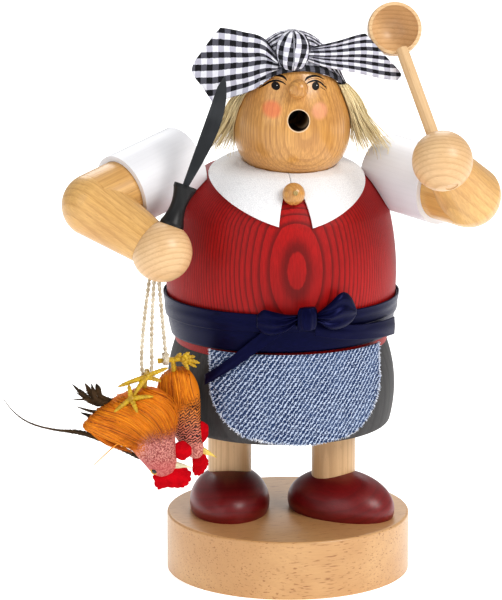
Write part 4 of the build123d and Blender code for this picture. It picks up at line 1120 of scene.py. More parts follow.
bowPieces = {
    "bowLoopLeft": {
        "node": "bow_loop_left", "isLoop": True,
        "lower": ((0, -0.14), (0.3, -0.5), (0.6, -0.66), (0.85, -0.62), (1, -0.4)),
        "upper": ((0, 0.14), (0.3, 0.18), (0.6, 0.28), (0.85, 0.34), (1, 0.1)),
        "run": (-0.36, -1.95),
    },
    "bowLoopRight": {
        "node": "bow_loop_right", "isLoop": True,
        "lower": ((0, -0.14), (0.35, -0.52), (0.65, -0.5), (0.88, -0.32), (1, -0.05)),
        "upper": ((0, 0.14), (0.3, 0.52), (0.58, 0.92), (0.75, 0.9), (0.9, 0.6), (1, 0.2)),
        "run": (0.36, 2.1),
    },
    "bowTailLeft": {
        "node": "bow_tail_left", "isLoop": False, "flat": (46, 11),
        "lower": ((0, -0.5), (0.12, -0.56), (1, -3.02)),
        "upper": ((0, -0.16), (0.2, -0.08), (1, -2.6)),
        "run": (-0.36, -3.84),
    },
    "bowTailRight": {
        "node": "bow_tail_right", "isLoop": False, "flat": (38, 11),
        "lower": ((0, -0.8), (0.45, -1.12), (1, -1.38)),
        "upper": ((0, -0.2), (0.45, -0.5), (1, -0.66)),
        "run": (0.36, 4.05),
    },
}


def bowSpot(side, rise, radius):
    # A place seen from the front, laid on an upright cylinder round the waist
    across = ribbon["bowSide"] + side * ribbon["bowUnit"]
    depth = math.sqrt(max(radius**2 - across**2, 0))
    return axisPlace + Vector((across, -depth, ribbon["bowHeight"] + rise * ribbon["bowUnit"]))


def makeBowLoop(name, bow):
    # A crowned loop: its section is a flattened ring that opens away from the knot
    def spot(out, turn):
        side = bow["run"][0] + (bow["run"][1] - bow["run"][0]) * out
        low, high = alongList(bow["lower"], out), alongList(bow["upper"], out)
        belly = ribbon["loopDepth"] / 2 * (0.5 + 0.62 * math.sin(math.pi * min(out * 0.9 + 0.1, 1)))
        across = math.cos(turn)
        gather = (0.75 * (1 - out) + 0.16) * mm
        crease = gather * math.sin(across * 8 + 0.7 + out * 2) * max(math.sin(turn), 0)
        depth = belly * (1 + math.sin(turn)) + crease
        point = bowSpot(side, (low + high) / 2 + (high - low) / 2 * across, ribbon["loopRadius"] + depth)
        return point, (out * 24 * mm, turn / math.pi * 10 * mm)

    piece = makeWrap(name, spot, 40, 48, satin, "navy_satin", ends="closed")
    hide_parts(bow["node"])


def makeBowTail(name, bow):
    def place(across, out):
        side = bow["run"][0] + (bow["run"][1] - bow["run"][0]) * out
        low, high = alongList(bow["lower"], out), alongList(bow["upper"], out)
        rise = low + (high - low) * across
        curl = 0.3 * mm * math.sin(out * 7 + across * 2) + 0.22 * mm * math.cos((across - 0.5) * math.pi * 2)
        return bowSpot(side, rise, ribbon["tailRadius"] + max(curl, -0.1 * mm))

    def fabric(across, out):
        return out * bow["flat"][0] * mm, across * bow["flat"][1] * mm

    piece = makeCloth(name, place, fabric, 18, 60, satin, figure["upper"], "navy_satin", 0.4 * mm)
    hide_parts(bow["node"])
    return piece


def makeBowKnot():
    def spot(share, turn):
        rise = -1 + 2 * share
        half = 0.4 * (1 - 0.22 * abs(rise) ** 3)
        crease = 1 + 0.05 * math.sin(turn * 8 + 0.6 * rise)
        side = half * math.sin(turn) * crease
        depth = 2.9 * mm + 2.6 * mm * math.cos(turn) * crease * (1 - 0.3 * rise**2)
        point = bowSpot(side, rise * 0.45 + 0.06 * side, ribbon["loopRadius"] - 0.5 * mm + depth)
        return point, (rise * 5 * mm, turn * 3.4 * mm)

    piece = makeWrap("bowKnot", spot, 30, 56, satin, "navy_satin", ends="closed")
    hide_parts("bow_knot")


def makeRibbon():
    under = makeRibbonWrap("waistRibbonUnder", ribbon["low"], ribbon["high"] - 0.6 * mm, 0, 0.6)
    over = makeRibbonWrap("waistRibbonOver", ribbon["lap"], ribbon["high"], 1, 1.2)
    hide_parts("waist_ribbon")
    for name, bow in bowPieces.items():
        if bow["isLoop"]:
            makeBowLoop(name, bow)
        else:
            tail = makeBowTail(name, bow)
    makeBowKnot()


makeRibbon()
print("ribbon: two wraps and the bow")


# Apron: denim with a pinked, frayed edge
apron = {
    "top": 99.3 * mm,
    "drop": 36.6 * mm,
    "halfWidth": 34.6 * mm,
    "middle": 0.4 * mm,
    "sag": 7 * mm,
    "round": 15 * mm,
    "waist": 45.9 * mm,
    "belly": 47.9 * mm,
    "bellyHeight": 74.4 * mm,
    "thickness": 0.9 * mm,
    "tufts": 250,
    "pink": 1.5 * mm,
    "sideShare": 0.14,  # part of the cut edge that runs up each side
    "rooting": 0.5,
    "jitter": ((-0.3, 0.3), (-0.3, 0.1), (-0.3, 0.3)),
}


def apronLow(side):
    # The lower edge's drop at a place across: sagged in the middle, with round corners
    half = apron["halfWidth"]
    level = -apron["drop"] + apron["sag"] * (side / half) ** 2
    inset = abs(side) - (half - apron["round"])
    if inset > 0:
        level += apron["round"] - math.sqrt(max(apron["round"] ** 2 - inset**2, 0))
    return level


def apronReach(height):
    share = min(max((apron["top"] - height) / (apron["top"] - apron["bellyHeight"]), 0), 1)
    return apron["waist"] + (apron["belly"] - apron["waist"]) * math.sin(share * math.pi / 2)


def apronSpot(side, drop, lift):
    height = apron["top"] + drop
    across = apron["middle"] + side
    radius = apronReach(height) + lift
    return axisPlace + Vector((across, -math.sqrt(radius**2 - across**2), height))


def makeApron():
    denim = makeDenim()

    def pinked(side, share):
        # Small even scallops along the cut edge
        return 0.35 * mm * math.sin(side / apron["pink"] * math.pi * 2) * share

    def place(across, out):
        side = (across - 0.5) * 2 * apron["halfWidth"]
        low = apronLow(side) + pinked(side, 1)
        drop = low * out
        edge = 1 + 0.008 * math.sin(drop / apron["pink"] * math.pi * 2) * abs(across - 0.5) * 2
        wave = 0.25 * mm * math.sin(side / (9 * mm)) * out
        return apronSpot(side * edge, drop, wave)

    def fabric(across, out):
        side = (across - 0.5) * 2 * apron["halfWidth"]
        return side, apronLow(side) * out

    piece = makeCloth("apron", place, fabric, 150, 60, denim, figure["upper"], "denim", apron["thickness"])
    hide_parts("apron")

    material, tree, shader = startMaterial("frayedThread", Roughness=0.9)
    shade = shadeOf(tree, objectPlace(tree), 500.0)
    colour = mixColours(tree, shade["Patches"], (0.86, 0.88, 0.93, 1), (0.45, 0.52, 0.68, 1))
    finishMaterial(tree, shader, colour, shade["Grit"], 0.4, 0.05 * mm)
    target = ([], [])
    outline = []
    count = apron["tufts"]
    for number in range(count + 1):
        # Round the cut edge: down one side, along the bottom and up the other side
        share, sides = number / count, apron["sideShare"]
        if share < sides:
            side = -apron["halfWidth"]
            drop = -(apron["drop"] - apron["sag"] - apron["round"]) * share / sides
            lean = Vector((-1, 0, 0))
        elif share > 1 - sides:
            side = apron["halfWidth"]
            drop = -(apron["drop"] - apron["sag"] - apron["round"]) * (1 - share) / sides
            lean = Vector((1, 0, 0))
        else:
            angle = (share - sides) / (1 - 2 * sides)
            side = -apron["halfWidth"] * math.cos(angle * math.pi)
            drop = apronLow(side)
            lean = Vector((side / apron["halfWidth"] * 0.9, 0, -1)).normalized()
        outline.append((side, drop, lean))
    for side, drop, lean in outline:
        for thread in range(4):
            offset = random.uniform(-0.5, 0.5) * mm
            reach = random.uniform(0.5, 1.3) * mm
            beside = side - lean.x * apron["rooting"] * mm + offset * abs(lean.z)
            below = drop - lean.z * apron["rooting"] * mm + offset * abs(lean.x)
            start = apronSpot(beside, below, random.uniform(-0.2, 0.3) * mm)
            bend = Vector([random.uniform(low, high) for low, high in apron["jitter"]]) * mm
            end = start + lean * reach + bend
            middle = (start + end) / 2 + Vector((0, -0.1, 0)) * mm
            thick = random.uniform(0.09, 0.17) * mm
            addTube([start, middle, end], [thick, thick, thick * 0.5], 4, target)
    fringe = makePiece("apronFringe", target[0], target[1], material, figure["upper"], "denim")


makeApron()
print("apron: denim and its frayed edge")


# Hair: loose straw fibres on each side, rooted under the cap
hair = {
    "strands": 330,
    "steps": 14,
    "radius": (0.12 * mm, 0.25 * mm),
    "depth": 7 * mm,
    "gap": 0.35 * mm,
    "floor": 164.05 * mm,
    "unit": 23.4 * mm,
    "left": ((-0.72, 0.2, 1.70, 0.22), (-0.92, 0.08, 1.42, 0.34), (-1.04, -0.12, 1.02, 0.46),
             (-1.26, -0.34, 0.5, 0.7)),
    "right": ((0.80, 0.4, 1.70, 0.2), (0.97, 0.3, 1.42, 0.3), (1.13, 0.17, 1.05, 0.42),
              (1.42, 0.06, 0.5, 0.74)),
}


def makeStraw():
    material, tree, shader = startMaterial("strawFibre", Roughness=0.5, Specular_IOR_Level=0.4)
    island = islandOf(tree)
    place = objectPlace(tree)
    shade = shadeOf(tree, stretched(tree, place, (1, 1, 0.1)), 900.0)
    colour = mixColours(tree, between(tree, island, 0.0, 0.22), (0.36, 0.22, 0.08, 1), (0.95, 0.81, 0.50, 1))
    colour = tinted(tree, colour, (0.55, 0.38, 0.16, 1), shade["Patches"], 0.2)
    finishMaterial(tree, shader, colour, shade["Grit"], 0.3, 0.04 * mm)
    return material


def makeHair(name, shares, sleeve, nodeName, straw):
    solids = treeOf("head", sleeve, "torso")
    target = ([], [])
    for strand in range(hair["strands"]):
        angle, spread = random.uniform(0, 2 * math.pi), math.sqrt(random.random())
        across, deep = math.cos(angle) * spread, math.sin(angle) * spread
        reach = random.uniform(0.8, 1.0) if random.random() < 0.9 else random.uniform(1.0, 1.12)
        loose = 1.0 if random.random() < 0.88 else random.uniform(1.2, 1.8)
        curl = random.uniform(-1, 1)
        places = []
        for step in range(hair["steps"]):
            share = step / (hair["steps"] - 1) * reach
            index = share * (len(shares) - 1)
            values = [alongList([(number, row[axis]) for number, row in enumerate(shares)],
                                index) for axis in range(4)]
            over = max(share - 1, 0)
            side = values[0] + over * (values[0] - shares[-2][0])
            side += across * values[3] / 2 * (1 + (loose - 1) * share)
            rise = values[2] - over * 1.6
            forward = values[1] + deep * hair["depth"] / 2 / hair["unit"] * (1 + 0.7 * share)
            side += curl * 0.03 * math.sin(share * 5)
            point = Vector((headAxis.x + side * hair["unit"], headAxis.y - forward * hair["unit"],
                            hair["floor"] + rise * hair["unit"]))
            places.append(pushClear(point, solids, hair["gap"]))
        thick = random.uniform(*hair["radius"])
        radii = [thick * (1 - 0.65 * (step / (hair["steps"] - 1)) ** 3) for step in range(hair["steps"])]
        addTube(places, radii, 3, target)
    piece = makePiece(name, target[0], target[1], straw, figure["upper"], "straw_fibre")
    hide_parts(nodeName)


straw = makeStraw()
makeHair("hairLeft", hair["left"], "sleeve_left", "hair_left", straw)
makeHair("hairRight", hair["right"], "sleeve_right", "hair_right", straw)
print("hair: two bundles of straw fibres")


# Face paint: thin strokes of black on the head, in mm across and up
paint = {
    "lift": 0.07 * mm,
    "eyes": ((-6.9, 204.8), (8.9, 204.6)),
    "iris": 1.6,
    "irisDrop": -0.1,
    "glint": (0.5, 0.3, 0.2),
    "boldness": 1.25,
}
strokes = (  # eye, (across, up, half width) ... from the inner end to the outer end
    (0,
     ((3.9, 0.7, 0.10), (2.4, 1.7, 0.24), (0.2, 2.15, 0.32), (-2.2, 1.4, 0.26), (-4.0, 0.1, 0.18),
      (-6.0, -1.3, 0.07))),
    (0, ((-3.4, 0.4, 0.14), (-4.7, 0.1, 0.12), (-5.9, -0.4, 0.05))),
    (0, ((-4.0, 1.7, 0.10), (-5.0, 1.6, 0.10), (-6.0, 1.1, 0.05))),
    (1,
     ((-4.3, 0.8, 0.10), (-2.4, 1.8, 0.24), (0.0, 2.15, 0.32), (2.2, 1.2, 0.26), (3.4, 0.2, 0.18),
      (4.8, -1.5, 0.07))),
    (1, ((2.6, 0.5, 0.14), (3.8, -0.2, 0.12), (5.0, -0.9, 0.05))),
    (1, ((2.0, -0.3, 0.10), (3.2, -1.2, 0.10), (4.2, -2.0, 0.05))),
    (0, ((4.3, 2.3, 0.12), (3.2, 3.6, 0.36), (1.0, 4.2, 0.34), (-1.2, 3.9, 0.22), (-3.0, 3.2, 0.08))),
    (1, ((-4.3, 2.3, 0.14), (-3.2, 3.4, 0.36), (-1.0, 3.95, 0.34), (1.4, 3.6, 0.22), (4.2, 2.2, 0.08))),
)
creases = (
    (1, ((-3.0, 2.7, 0.07), (-0.4, 3.05, 0.10), (2.0, 2.4, 0.10), (4.4, 0.4, 0.05))),
    (0, ((2.6, 2.5, 0.07), (0.2, 2.95, 0.09), (-2.4, 2.3, 0.09), (-4.8, 0.6, 0.05))),
)


def onFace(across, rise, lift):
    start = Vector((figure["side"] * mm + across * mm, -0.09, rise * mm))
    point, normal, index, distance = headTree.ray_cast(start, Vector((0, 1, 0)))
    return point + normal * lift


def addStroke(target, eye, points, lift):
    columns, steps = 5, 22
    ends = [index / (len(points) - 1) for index in range(len(points))]
    line = [[alongList(list(zip(ends, [point[axis] for point in points])),
                       step / (steps - 1)) for axis in range(3)]
            for step in range(steps)]
    start = len(target[0])
    for step, (across, rise, half) in enumerate(line):
        before, after = line[max(step - 1, 0)], line[min(step + 1, steps - 1)]
        along = Vector((after[0] - before[0], after[1] - before[1])).normalized()
        for column in range(columns):
            out = (column / (columns - 1) - 0.5) * 2 * half * paint["boldness"]
            crown = lift * (1 - 0.7 * abs(column / (columns - 1) - 0.5) * 2)
            target[0].append(onFace(paint["eyes"][eye][0] + across - along.y * out,
                                    paint["eyes"][eye][1] + rise + along.x * out, crown))
    addFaces(target, start, gridFaces(steps, columns))


def addDot(target, centre, radius, lift):
    rings, columns = 5, 28
    start = len(target[0])
    target[0].append(onFace(*centre, lift))
    for ring in range(1, rings + 1):
        share = ring / rings
        for column in range(columns):
            turn = 2 * math.pi * column / columns
            target[0].append(onFace(centre[0] + radius * share * math.cos(turn),
                                    centre[1] + radius * share * math.sin(turn), lift * (1.15 - share**4)))
    for column in range(columns):
        after = (column + 1) % columns
        target[1].append((start, start + 1 + column, start + 1 + after))
        for ring in range(rings - 1):
            row = start + 1 + ring * columns
            target[1].append((row + column, row + columns + column, row + columns + after, row + after))


def makePaint(name, colour, roughness):
    material, tree, shader = startMaterial(name, Roughness=roughness, Specular_IOR_Level=0.2)
    shade = shadeOf(tree, objectPlace(tree), 700.0)
    paler = [min(part * 1.5, 1) for part in colour[:3]] + [1]
    uneven = tinted(tree, colour, paler, shade["Patches"], 0.5)
    finishMaterial(tree, shader, uneven, shade["Grit"], 0.15, 0.02 * mm)
    return material


def makeFacePaint():
    dark, white, brown = ([], []), ([], []), ([], [])
    for eye, points in strokes:
        addStroke(dark, eye, points, paint["lift"])
    for eye, points in creases:
        addStroke(brown, eye, points, paint["lift"])
    for centre in paint["eyes"]:
        addDot(dark, (centre[0], centre[1] - paint["irisDrop"]), paint["iris"], paint["lift"] * 1.2)
        side, rise, radius = paint["glint"]
        addDot(white, (centre[0] + side, centre[1] + rise), radius, paint["lift"] * 2.4)
    makePiece("paintDark", *dark, makePaint("blackPaint", (0.006, 0.004, 0.004, 1), 0.5), figure["upper"],
              "black_wood")
    makePiece("paintGlint", *white, makePaint("whitePaint", (0.85, 0.85, 0.85, 1), 0.3), figure["upper"],
              "white_wood")
    makePiece("paintCrease", *brown, makePaint("brownPaint", (0.16, 0.06, 0.02, 1), 0.4), figure["upper"],
              "honey_wood")


makeFacePaint()
print("face: painted eyes and brows")


# Fowl: bodies with laid feather strands, feet, felt combs, beaks, tail feathers
nearFowl = {
    "front": 0.42,
    "body": ((-2.86, -5.84, 0.1), (-2.2, -5.66, 0.56), (-1.4, -5.56, 1.0), (-0.5, -5.52, 1.26),
             (0.2, -5.54, 1.18),
             (0.64, -5.6, 0.82), (0.86, -5.64, 0.3)),
    "neck": ((-0.4, -5.7, 1.1), (-0.04, -6.5, 0.92), (0.22, -7.16, 0.68), (0.4, -7.6, 0.52),
             (0.5, -7.86, 0.24)),
    "neckTurn": -68,
    "starts": ((0, -2.85, -5.84), (0.35, -2.7, -5.66), (0.55, -2.2, -5.2), (0.75, -1.5, -4.8),
               (0.9, -0.9, -4.5),
               (1, -0.3, -4.3)),
    "ends": ((0, -0.86, -7.0), (0.2, -0.6, -6.75), (0.4, -0.35, -6.45), (0.6, 0.1, -6.4), (0.8, 0.5, -6.4),
             (1, 0.93, -6.1)),
    "bows": ((0, -0.05), (0.3, 0.04), (0.6, 0.13), (1, 0.24)),
    "strands": (520, 300),
}
farFowl = {
    "front": -0.86,
    "body": ((0.74, -3.78, 0.16), (0.78, -4.05, 0.62), (0.86, -4.7, 0.9), (1.0, -5.4, 0.86),
             (1.24, -6.2, 0.62),
             (1.46, -6.85, 0.45), (1.64, -7.3, 0.34), (1.72, -7.52, 0.14)),
    "turn": -72,
    "bows": ((0, -0.08), (0.5, 0.0), (1, -0.06)),
    "starts": ((0, 0.3, -3.75), (0.5, 0.75, -3.7), (1, 1.3, -3.95)),
    "ends": ((0, 0.35, -5.2), (0.5, 0.95, -5.35), (1, 1.8, -5.5)),
    "strands": (260, 200),
}
bodyDepth = 0.69
skinVoxel = 0.5 * mm


def swell(target, front, turn, sections):
    # A form that swells and tapers along a direction, flattened from front to back
    rows, columns = 44, 40
    count = len(sections) - 1
    lists = [[(index / count, section[axis]) for index, section in enumerate(sections)] for axis in range(3)]
    bearing = math.radians(turn)
    aside = (-math.sin(bearing), math.cos(bearing))
    start = len(target[0])
    for row in range(rows):
        share = row / (rows - 1)
        side, rise, radius = (alongList(pairs, share) for pairs in lists)
        rounding = 1  # both ends are rounded off
        for past in (1 - share / 0.03, (share - 0.97) / 0.03):
            rounding *= math.sqrt(max(1 - max(0, past) ** 2, 0.02))
        radius *= rounding
        for column in range(columns):
            angle = 2 * math.pi * column / columns
            out = radius * math.cos(angle)
            target[0].append(fowlSpot(side + aside[0] * out, rise + aside[1] * out,
                                      front + bodyDepth * radius * math.sin(angle)))
    addFaces(target, start, closedFaces(rows, columns))


def fowlShares(tree):
    # Places across and up in the fowl's plane, in its units
    place = addNode(tree, "ShaderNodeVectorMath", {"operation": "SUBTRACT"})
    tree.links.new(objectPlace(tree), place.inputs[0])
    place.inputs[1].default_value = fowlPlane["origin"]
    results = []
    for direction in (fowlPlane["right"], up):
        dot = addNode(tree, "ShaderNodeVectorMath", {"operation": "DOT_PRODUCT"})
        tree.links.new(place.outputs[0], dot.inputs[0])
        dot.inputs[1].default_value = direction
        results.append(calc(tree, "DIVIDE", dot.outputs["Value"], fowlPlane["unit"]))
    return results


featherLook = {
    "rust": (0.60, 0.15, 0.004, 1),
    "gold": (0.90, 0.34, 0.012, 1),
    "brown": (0.26, 0.06, 0.004, 1),
    "shadow": (0.42, 0.10, 0.004, 1),
    "neck": ((0.22, 0.035, 0.035, 1), (0.60, 0.25, 0.21, 1)),
    "speck": (0.74, 0.48, 0.36, 1),
    "blush": (0.50, 0.09, 0.09, 1),
    "breast": ((0.62, 0.20, 0.14, 1), (0.66, 0.22, 0.04, 1)),
    "bar": (0.035, 0.008, 0.008, 1),
    "head": ((0.34, 0.07, 0.06, 1), (0.70, 0.32, 0.26, 1)),
}


def makeFeatherMaterial(name, isNear):
    material, tree, shader = startMaterial(name, Roughness=0.55, Specular_IOR_Level=0.3)
    across, rise = fowlShares(tree)
    place = objectPlace(tree)
    island = islandOf(tree)
    shade = shadeOf(tree, place, 300.0)
    orange = mixColours(tree, island, featherLook["rust"], featherLook["gold"])
    orange = mixColours(tree, between(tree, island, 0.88, 0.96), orange, featherLook["brown"])
    orange = tinted(tree, orange, featherLook["shadow"], shade["Patches"], 0.3)
    grit = noiseOf(tree, place, 1500, 3, 0.7)
    if isNear:
        # The neck and the head are speckled pink
        dots = addNode(tree, "ShaderNodeTexVoronoi", Vector=place, Scale=1500.0).outputs["Distance"]
        pink = mixColours(tree, between(tree, grit, 0.4, 0.6), *featherLook["neck"])
        pink = mixColours(tree, between(tree, dots, 0.12, 0.26, 0.7, 0), pink, featherLook["speck"])
        blush = between(tree, rise, -7.5, -6.9, 0.5, 0)
        pink = mixColours(tree, blush, pink, featherLook["blush"])
        rough = calc(tree, "MULTIPLY", calc(tree, "SUBTRACT", grit, 0.5), 2.2)
        edge = calc(tree, "ADD", rough, calc(tree, "MULTIPLY_ADD", rise, -0.25, across))
        below = between(tree, calc(tree, "ADD", rough, rise), -6.3, -5.7, 1, 0)
        mask = calc(tree, "MULTIPLY", between(tree, edge, 0.95, 1.35), below)
        low = between(tree, calc(tree, "ADD", rough, rise), -7.3, -6.8, 1, 0)
        colour = mixColours(tree, calc(tree, "MAXIMUM", mask, low), orange, pink)
    else:
        # The breast has dark zigzag bars, and the head is pink
        drift = noiseOf(tree, place, 260, 3, 0.6)
        saw = calc(tree, "PINGPONG", calc(tree, "MULTIPLY_ADD", drift, 0.35, across), 0.11)
        wavy = calc(tree, "MULTIPLY_ADD", drift, 0.45, calc(tree, "MULTIPLY_ADD", saw, 0.8, rise))
        bars = calc(tree, "FRACT", calc(tree, "DIVIDE", calc(tree, "MULTIPLY_ADD", grit, 0.09, wavy), 0.125))
        pale = mixColours(tree, between(tree, rise, -6.6, -5.4), *featherLook["breast"])
        zigzag = mixColours(tree, between(tree, bars, 0.38, 0.62), featherLook["bar"], pale)
        start = calc(tree, "MULTIPLY_ADD", across, -0.6, calc(tree, "MULTIPLY_ADD", grit, 1.6, rise))
        colour = mixColours(tree, between(tree, start, -5.5, -4.9, 1, 0), orange, zigzag)
        pink = mixColours(tree, between(tree, grit, 0.42, 0.58), *featherLook["head"])
        colour = mixColours(tree, between(tree, rise, -6.95, -6.75, 1, 0), colour, pink)
    finishMaterial(tree, shader, colour, grit, 0.7, 0.15 * mm)
    return material


def makeFowlForm(name, target, material, node):
    rough = makePiece(f"{name}Rough", target[0], target[1], material, figure["fowl"], "orange_feather")
    remesh = rough.modifiers.new("oneSkin", "REMESH")
    remesh.mode = "VOXEL"
    remesh.voxel_size = skinVoxel
    smooth = rough.modifiers.new("smooth", "SMOOTH")
    smooth.iterations = 6
    bpy.context.view_layer.update()
    skin = bpy.data.meshes.new_from_object(rough.evaluated_get(bpy.context.evaluated_depsgraph_get()))
    bpy.data.objects.remove(rough)
    skin.name = name
    for polygon in skin.polygons:
        polygon.use_smooth = True
    piece = bpy.data.objects.new(name, skin)
    bpy.context.scene.collection.objects.link(piece)
    skin.materials.clear()
    skin.materials.append(material)
    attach(piece, figure["fowl"])
    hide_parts(node)
    points = [vertex.co.copy() for vertex in skin.vertices]
    return piece, BVHTree.FromPolygons(points, [list(polygon.vertices) for polygon in skin.polygons])


def layStrands(name, fowl, tree, material):
    # Long barbs that sweep over both sides of the body, from the tail to the neck
    target = ([], [])
    steps = 14
    for facing, count in zip((1, -1), fowl["strands"]):
        for strand in range(count):
            share = (strand + random.uniform(-1.5, 1.5)) / (count - 1)
            share = min(max(share, 0), 1)
            start = [alongList([(row[0], row[axis]) for row in fowl["starts"]], share) for axis in (1, 2)]
            end = [alongList([(row[0], row[axis]) for row in fowl["ends"]], share) for axis in (1, 2)]
            start = [value + random.uniform(-0.12, 0.12) for value in start]
            reach = random.uniform(0.62, 1.0)
            bow = random.uniform(-0.05, 0.05) + alongList(fowl["bows"], share)
            lift = random.uniform(0.02, 0.42) * mm
            places, depth = [], None
            for step in range(steps):
                part = step / (steps - 1) * reach
                aside = bow * math.sin(part * math.pi)
                across = start[0] + (end[0] - start[0]) * part - (end[1] - start[1]) * aside
                rise = start[1] + (end[1] - start[1]) * part + (end[0] - start[0]) * aside
                origin = fowlSpot(across, rise, fowl["front"] + facing * 3)
                point, normal, index, distance = tree.ray_cast(origin, fowlPlane["front"] * -facing, 0.03)
                if point is None:
                    if depth is None:
                        continue
                    point = origin - fowlPlane["front"] * facing * depth
                    normal = fowlPlane["front"] * facing
                else:
                    depth = distance
                places.append(point + normal * lift)
            if len(places) < 4:
                continue
            thick = random.uniform(0.14, 0.30) * mm
            last = len(places) - 1
            addTube(places, [thick * (1 - 0.75 * (index / last) ** 2) for index in range(last + 1)], 4,
                    target)
    return makePiece(name, target[0], target[1], material, figure["fowl"], "orange_feather")


def makeFowlBodies():
    nearMaterial = makeFeatherMaterial("nearFeathers", True)
    farMaterial = makeFeatherMaterial("farFeathers", False)
    target = ([], [])
    swell(target, nearFowl["front"], 0, nearFowl["body"])
    swell(target, nearFowl["front"], nearFowl["neckTurn"], nearFowl["neck"])
    near, nearTree = makeFowlForm("fowlNearBody", target, nearMaterial, "fowl_near_body")
    target = ([], [])
    swell(target, farFowl["front"], farFowl["turn"], farFowl["body"])
    far, farTree = makeFowlForm("fowlFarBody", target, farMaterial, "fowl_far_body")
    layStrands("fowlNearStrands", nearFowl, nearTree, nearMaterial)
    layStrands("fowlFarStrands", farFowl, farTree, farMaterial)


makeFowlBodies()
print("fowl: bodies and strands")


# Feet: bundled legs and toes with knuckles and claws
feet = {
    "legRadius": 1.1 * mm,
    "toeGirth": 1.22,
    "legSteps": 16,
    "toeSteps": 26,
    "near": {
        "node": "fowl_near_feet",
        "legs": (((-0.305, -3.74, -0.25), (-0.305, -3.74, 0.75)), ((-0.36, -3.74, 0.5), (-0.42, -4.7, 0.4))),
        "toes": (((-0.305, -3.74, 0.75), (-0.89, -4.56, 1.06)), ((-0.89, -4.56, 1.06), (-1.62, -5.16, 0.96)),
                 ((-0.89, -4.56, 1.06), (-0.02, -4.46, 1.02)), ((-0.89, -4.56, 1.06), (-0.64, -5.02, 1.4)),
                 ((-0.305, -3.74, 0.75), (-1.42, -4.12, 0.8)), ((-0.305, -3.74, 0.75), (0.28, -3.9, 0.8)),
                 ((-0.305, -3.74, 0.75), (0.55, -3.42, 0.5)), ((-0.89, -4.56, 1.06), (-1.0, -3.98, 0.95))),
    },
    "far": {
        "node": "fowl_far_feet",
        "legs": (((0.12, -3.4, -0.5), (1.1, -3.3, -0.5)), ((0.72, -3.34, -0.5), (0.8, -4.3, -0.8))),
        "toes": (((1.1, -3.3, -0.5), (1.79, -3.47, -0.5)), ((1.1, -3.3, -0.5), (1.4, -3.0, -0.4)),
                 ((1.1, -3.3, -0.5), (1.36, -3.72, -0.3)), ((1.1, -3.3, -0.5), (1.62, -3.18, -0.42)),
                 ((0.9, -3.3, -0.45), (1.05, -3.02, -0.35)), ((1.1, -3.3, -0.5), (1.66, -3.66, -0.6))),
    },
}


def makeFootMaterial():
    material, tree, shader = startMaterial("yellowFeet", Roughness=0.45, Coat_Weight=0.2)
    place = objectPlace(tree)
    shade = shadeOf(tree, place, 420.0)
    colour = mixColours(tree, shade["Patches"], (0.66, 0.43, 0.008, 1), (0.44, 0.25, 0.006, 1))
    colour = mixColours(tree, between(tree, shade["Grit"], 0.54, 0.68), colour, (0.15, 0.075, 0.005, 1))
    finishMaterial(tree, shader, colour, shade["Grit"], 0.7, 0.15 * mm)
    return material


def makeFeet():
    material = makeFootMaterial()
    for name, group in (("fowlNearFeet", feet["near"]), ("fowlFarFeet", feet["far"])):
        target = ([], [])
        for start, end in group["legs"]:
            steps = feet["legSteps"]
            line = bentLine([fowlSpot(*start), fowlSpot(*end)], steps)
            radii = [feet["legRadius"] * (0.94 + 0.06 * math.sin(index * 1.9)) for index in range(steps)]
            addTube(line, radii, 14, target)
        for start, end in group["toes"]:
            first, last = fowlSpot(*start), fowlSpot(*end)
            middle = (first + last) / 2 + fowlPlane["front"] * 0.35 * mm + up * 0.2 * mm
            line = bentLine([first, middle, last - up * 0.15 * mm], feet["toeSteps"])
            length = lengthOf(line)
            radii = []
            for index in range(feet["toeSteps"]):
                share = index / (feet["toeSteps"] - 1)
                knuckle = feet["toeGirth"] * (1 + 0.3 * math.sin(share * length / (1.3 * mm) * math.pi) ** 2)
                body = feet["legRadius"] * 0.92 + (0.62 * mm - feet["legRadius"] * 0.92) * min(share / 0.85,
                                                                                               1)
                claw = 1 if share < 0.82 else 1 - 0.62 * (share - 0.82) / 0.18
                radii.append(body * knuckle * claw * 0.88)
            addTube(line, radii, 12, target, wide=0.9)
        piece = makePiece(name, target[0], target[1], material, figure["fowl"], "yellow_feet")
        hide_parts(group["node"])


makeFeet()

# Felt combs and wattles, with a scalloped edge
felt = {
    "thickness": 1.6 * mm,
    "pieces": {
        "fowlNearComb": ("fowl_near_comb", 0.42, 9, (
            (-0.04, -7.7), (-0.04, -7.98), (0.12, -8.42), (0.48, -8.36), (0.88, -8.38), (1.2, -8.32),
            (1.42, -8.02),
            (1.3, -7.62), (0.6, -7.5))),
        "fowlNearWattle": ("fowl_near_wattle", 0.42, 4, (
            (0.7, -6.7), (1.05, -6.46), (1.36, -6.6), (1.47, -6.9), (1.2, -7.22), (0.8, -7.1))),
        "fowlFarComb": ("fowl_far_comb", -0.86, 7, (
            (1.5, -7.3), (1.52, -8.1), (1.8, -8.2), (2.05, -7.9), (2.11, -7.62), (1.85, -7.2))),
        "fowlFarWattle": ("fowl_far_wattle", -0.86, 4, (
            (1.5, -6.8), (1.54, -6.2), (1.74, -6.0), (2.06, -6.1), (2.12, -6.5), (1.84, -6.94))),
    },
}


feltSection = ((0.0, 0.52), (0.55, 0.5), (0.84, 0.46), (0.96, 0.34), (1.0, 0.12))  # part of the outline, level


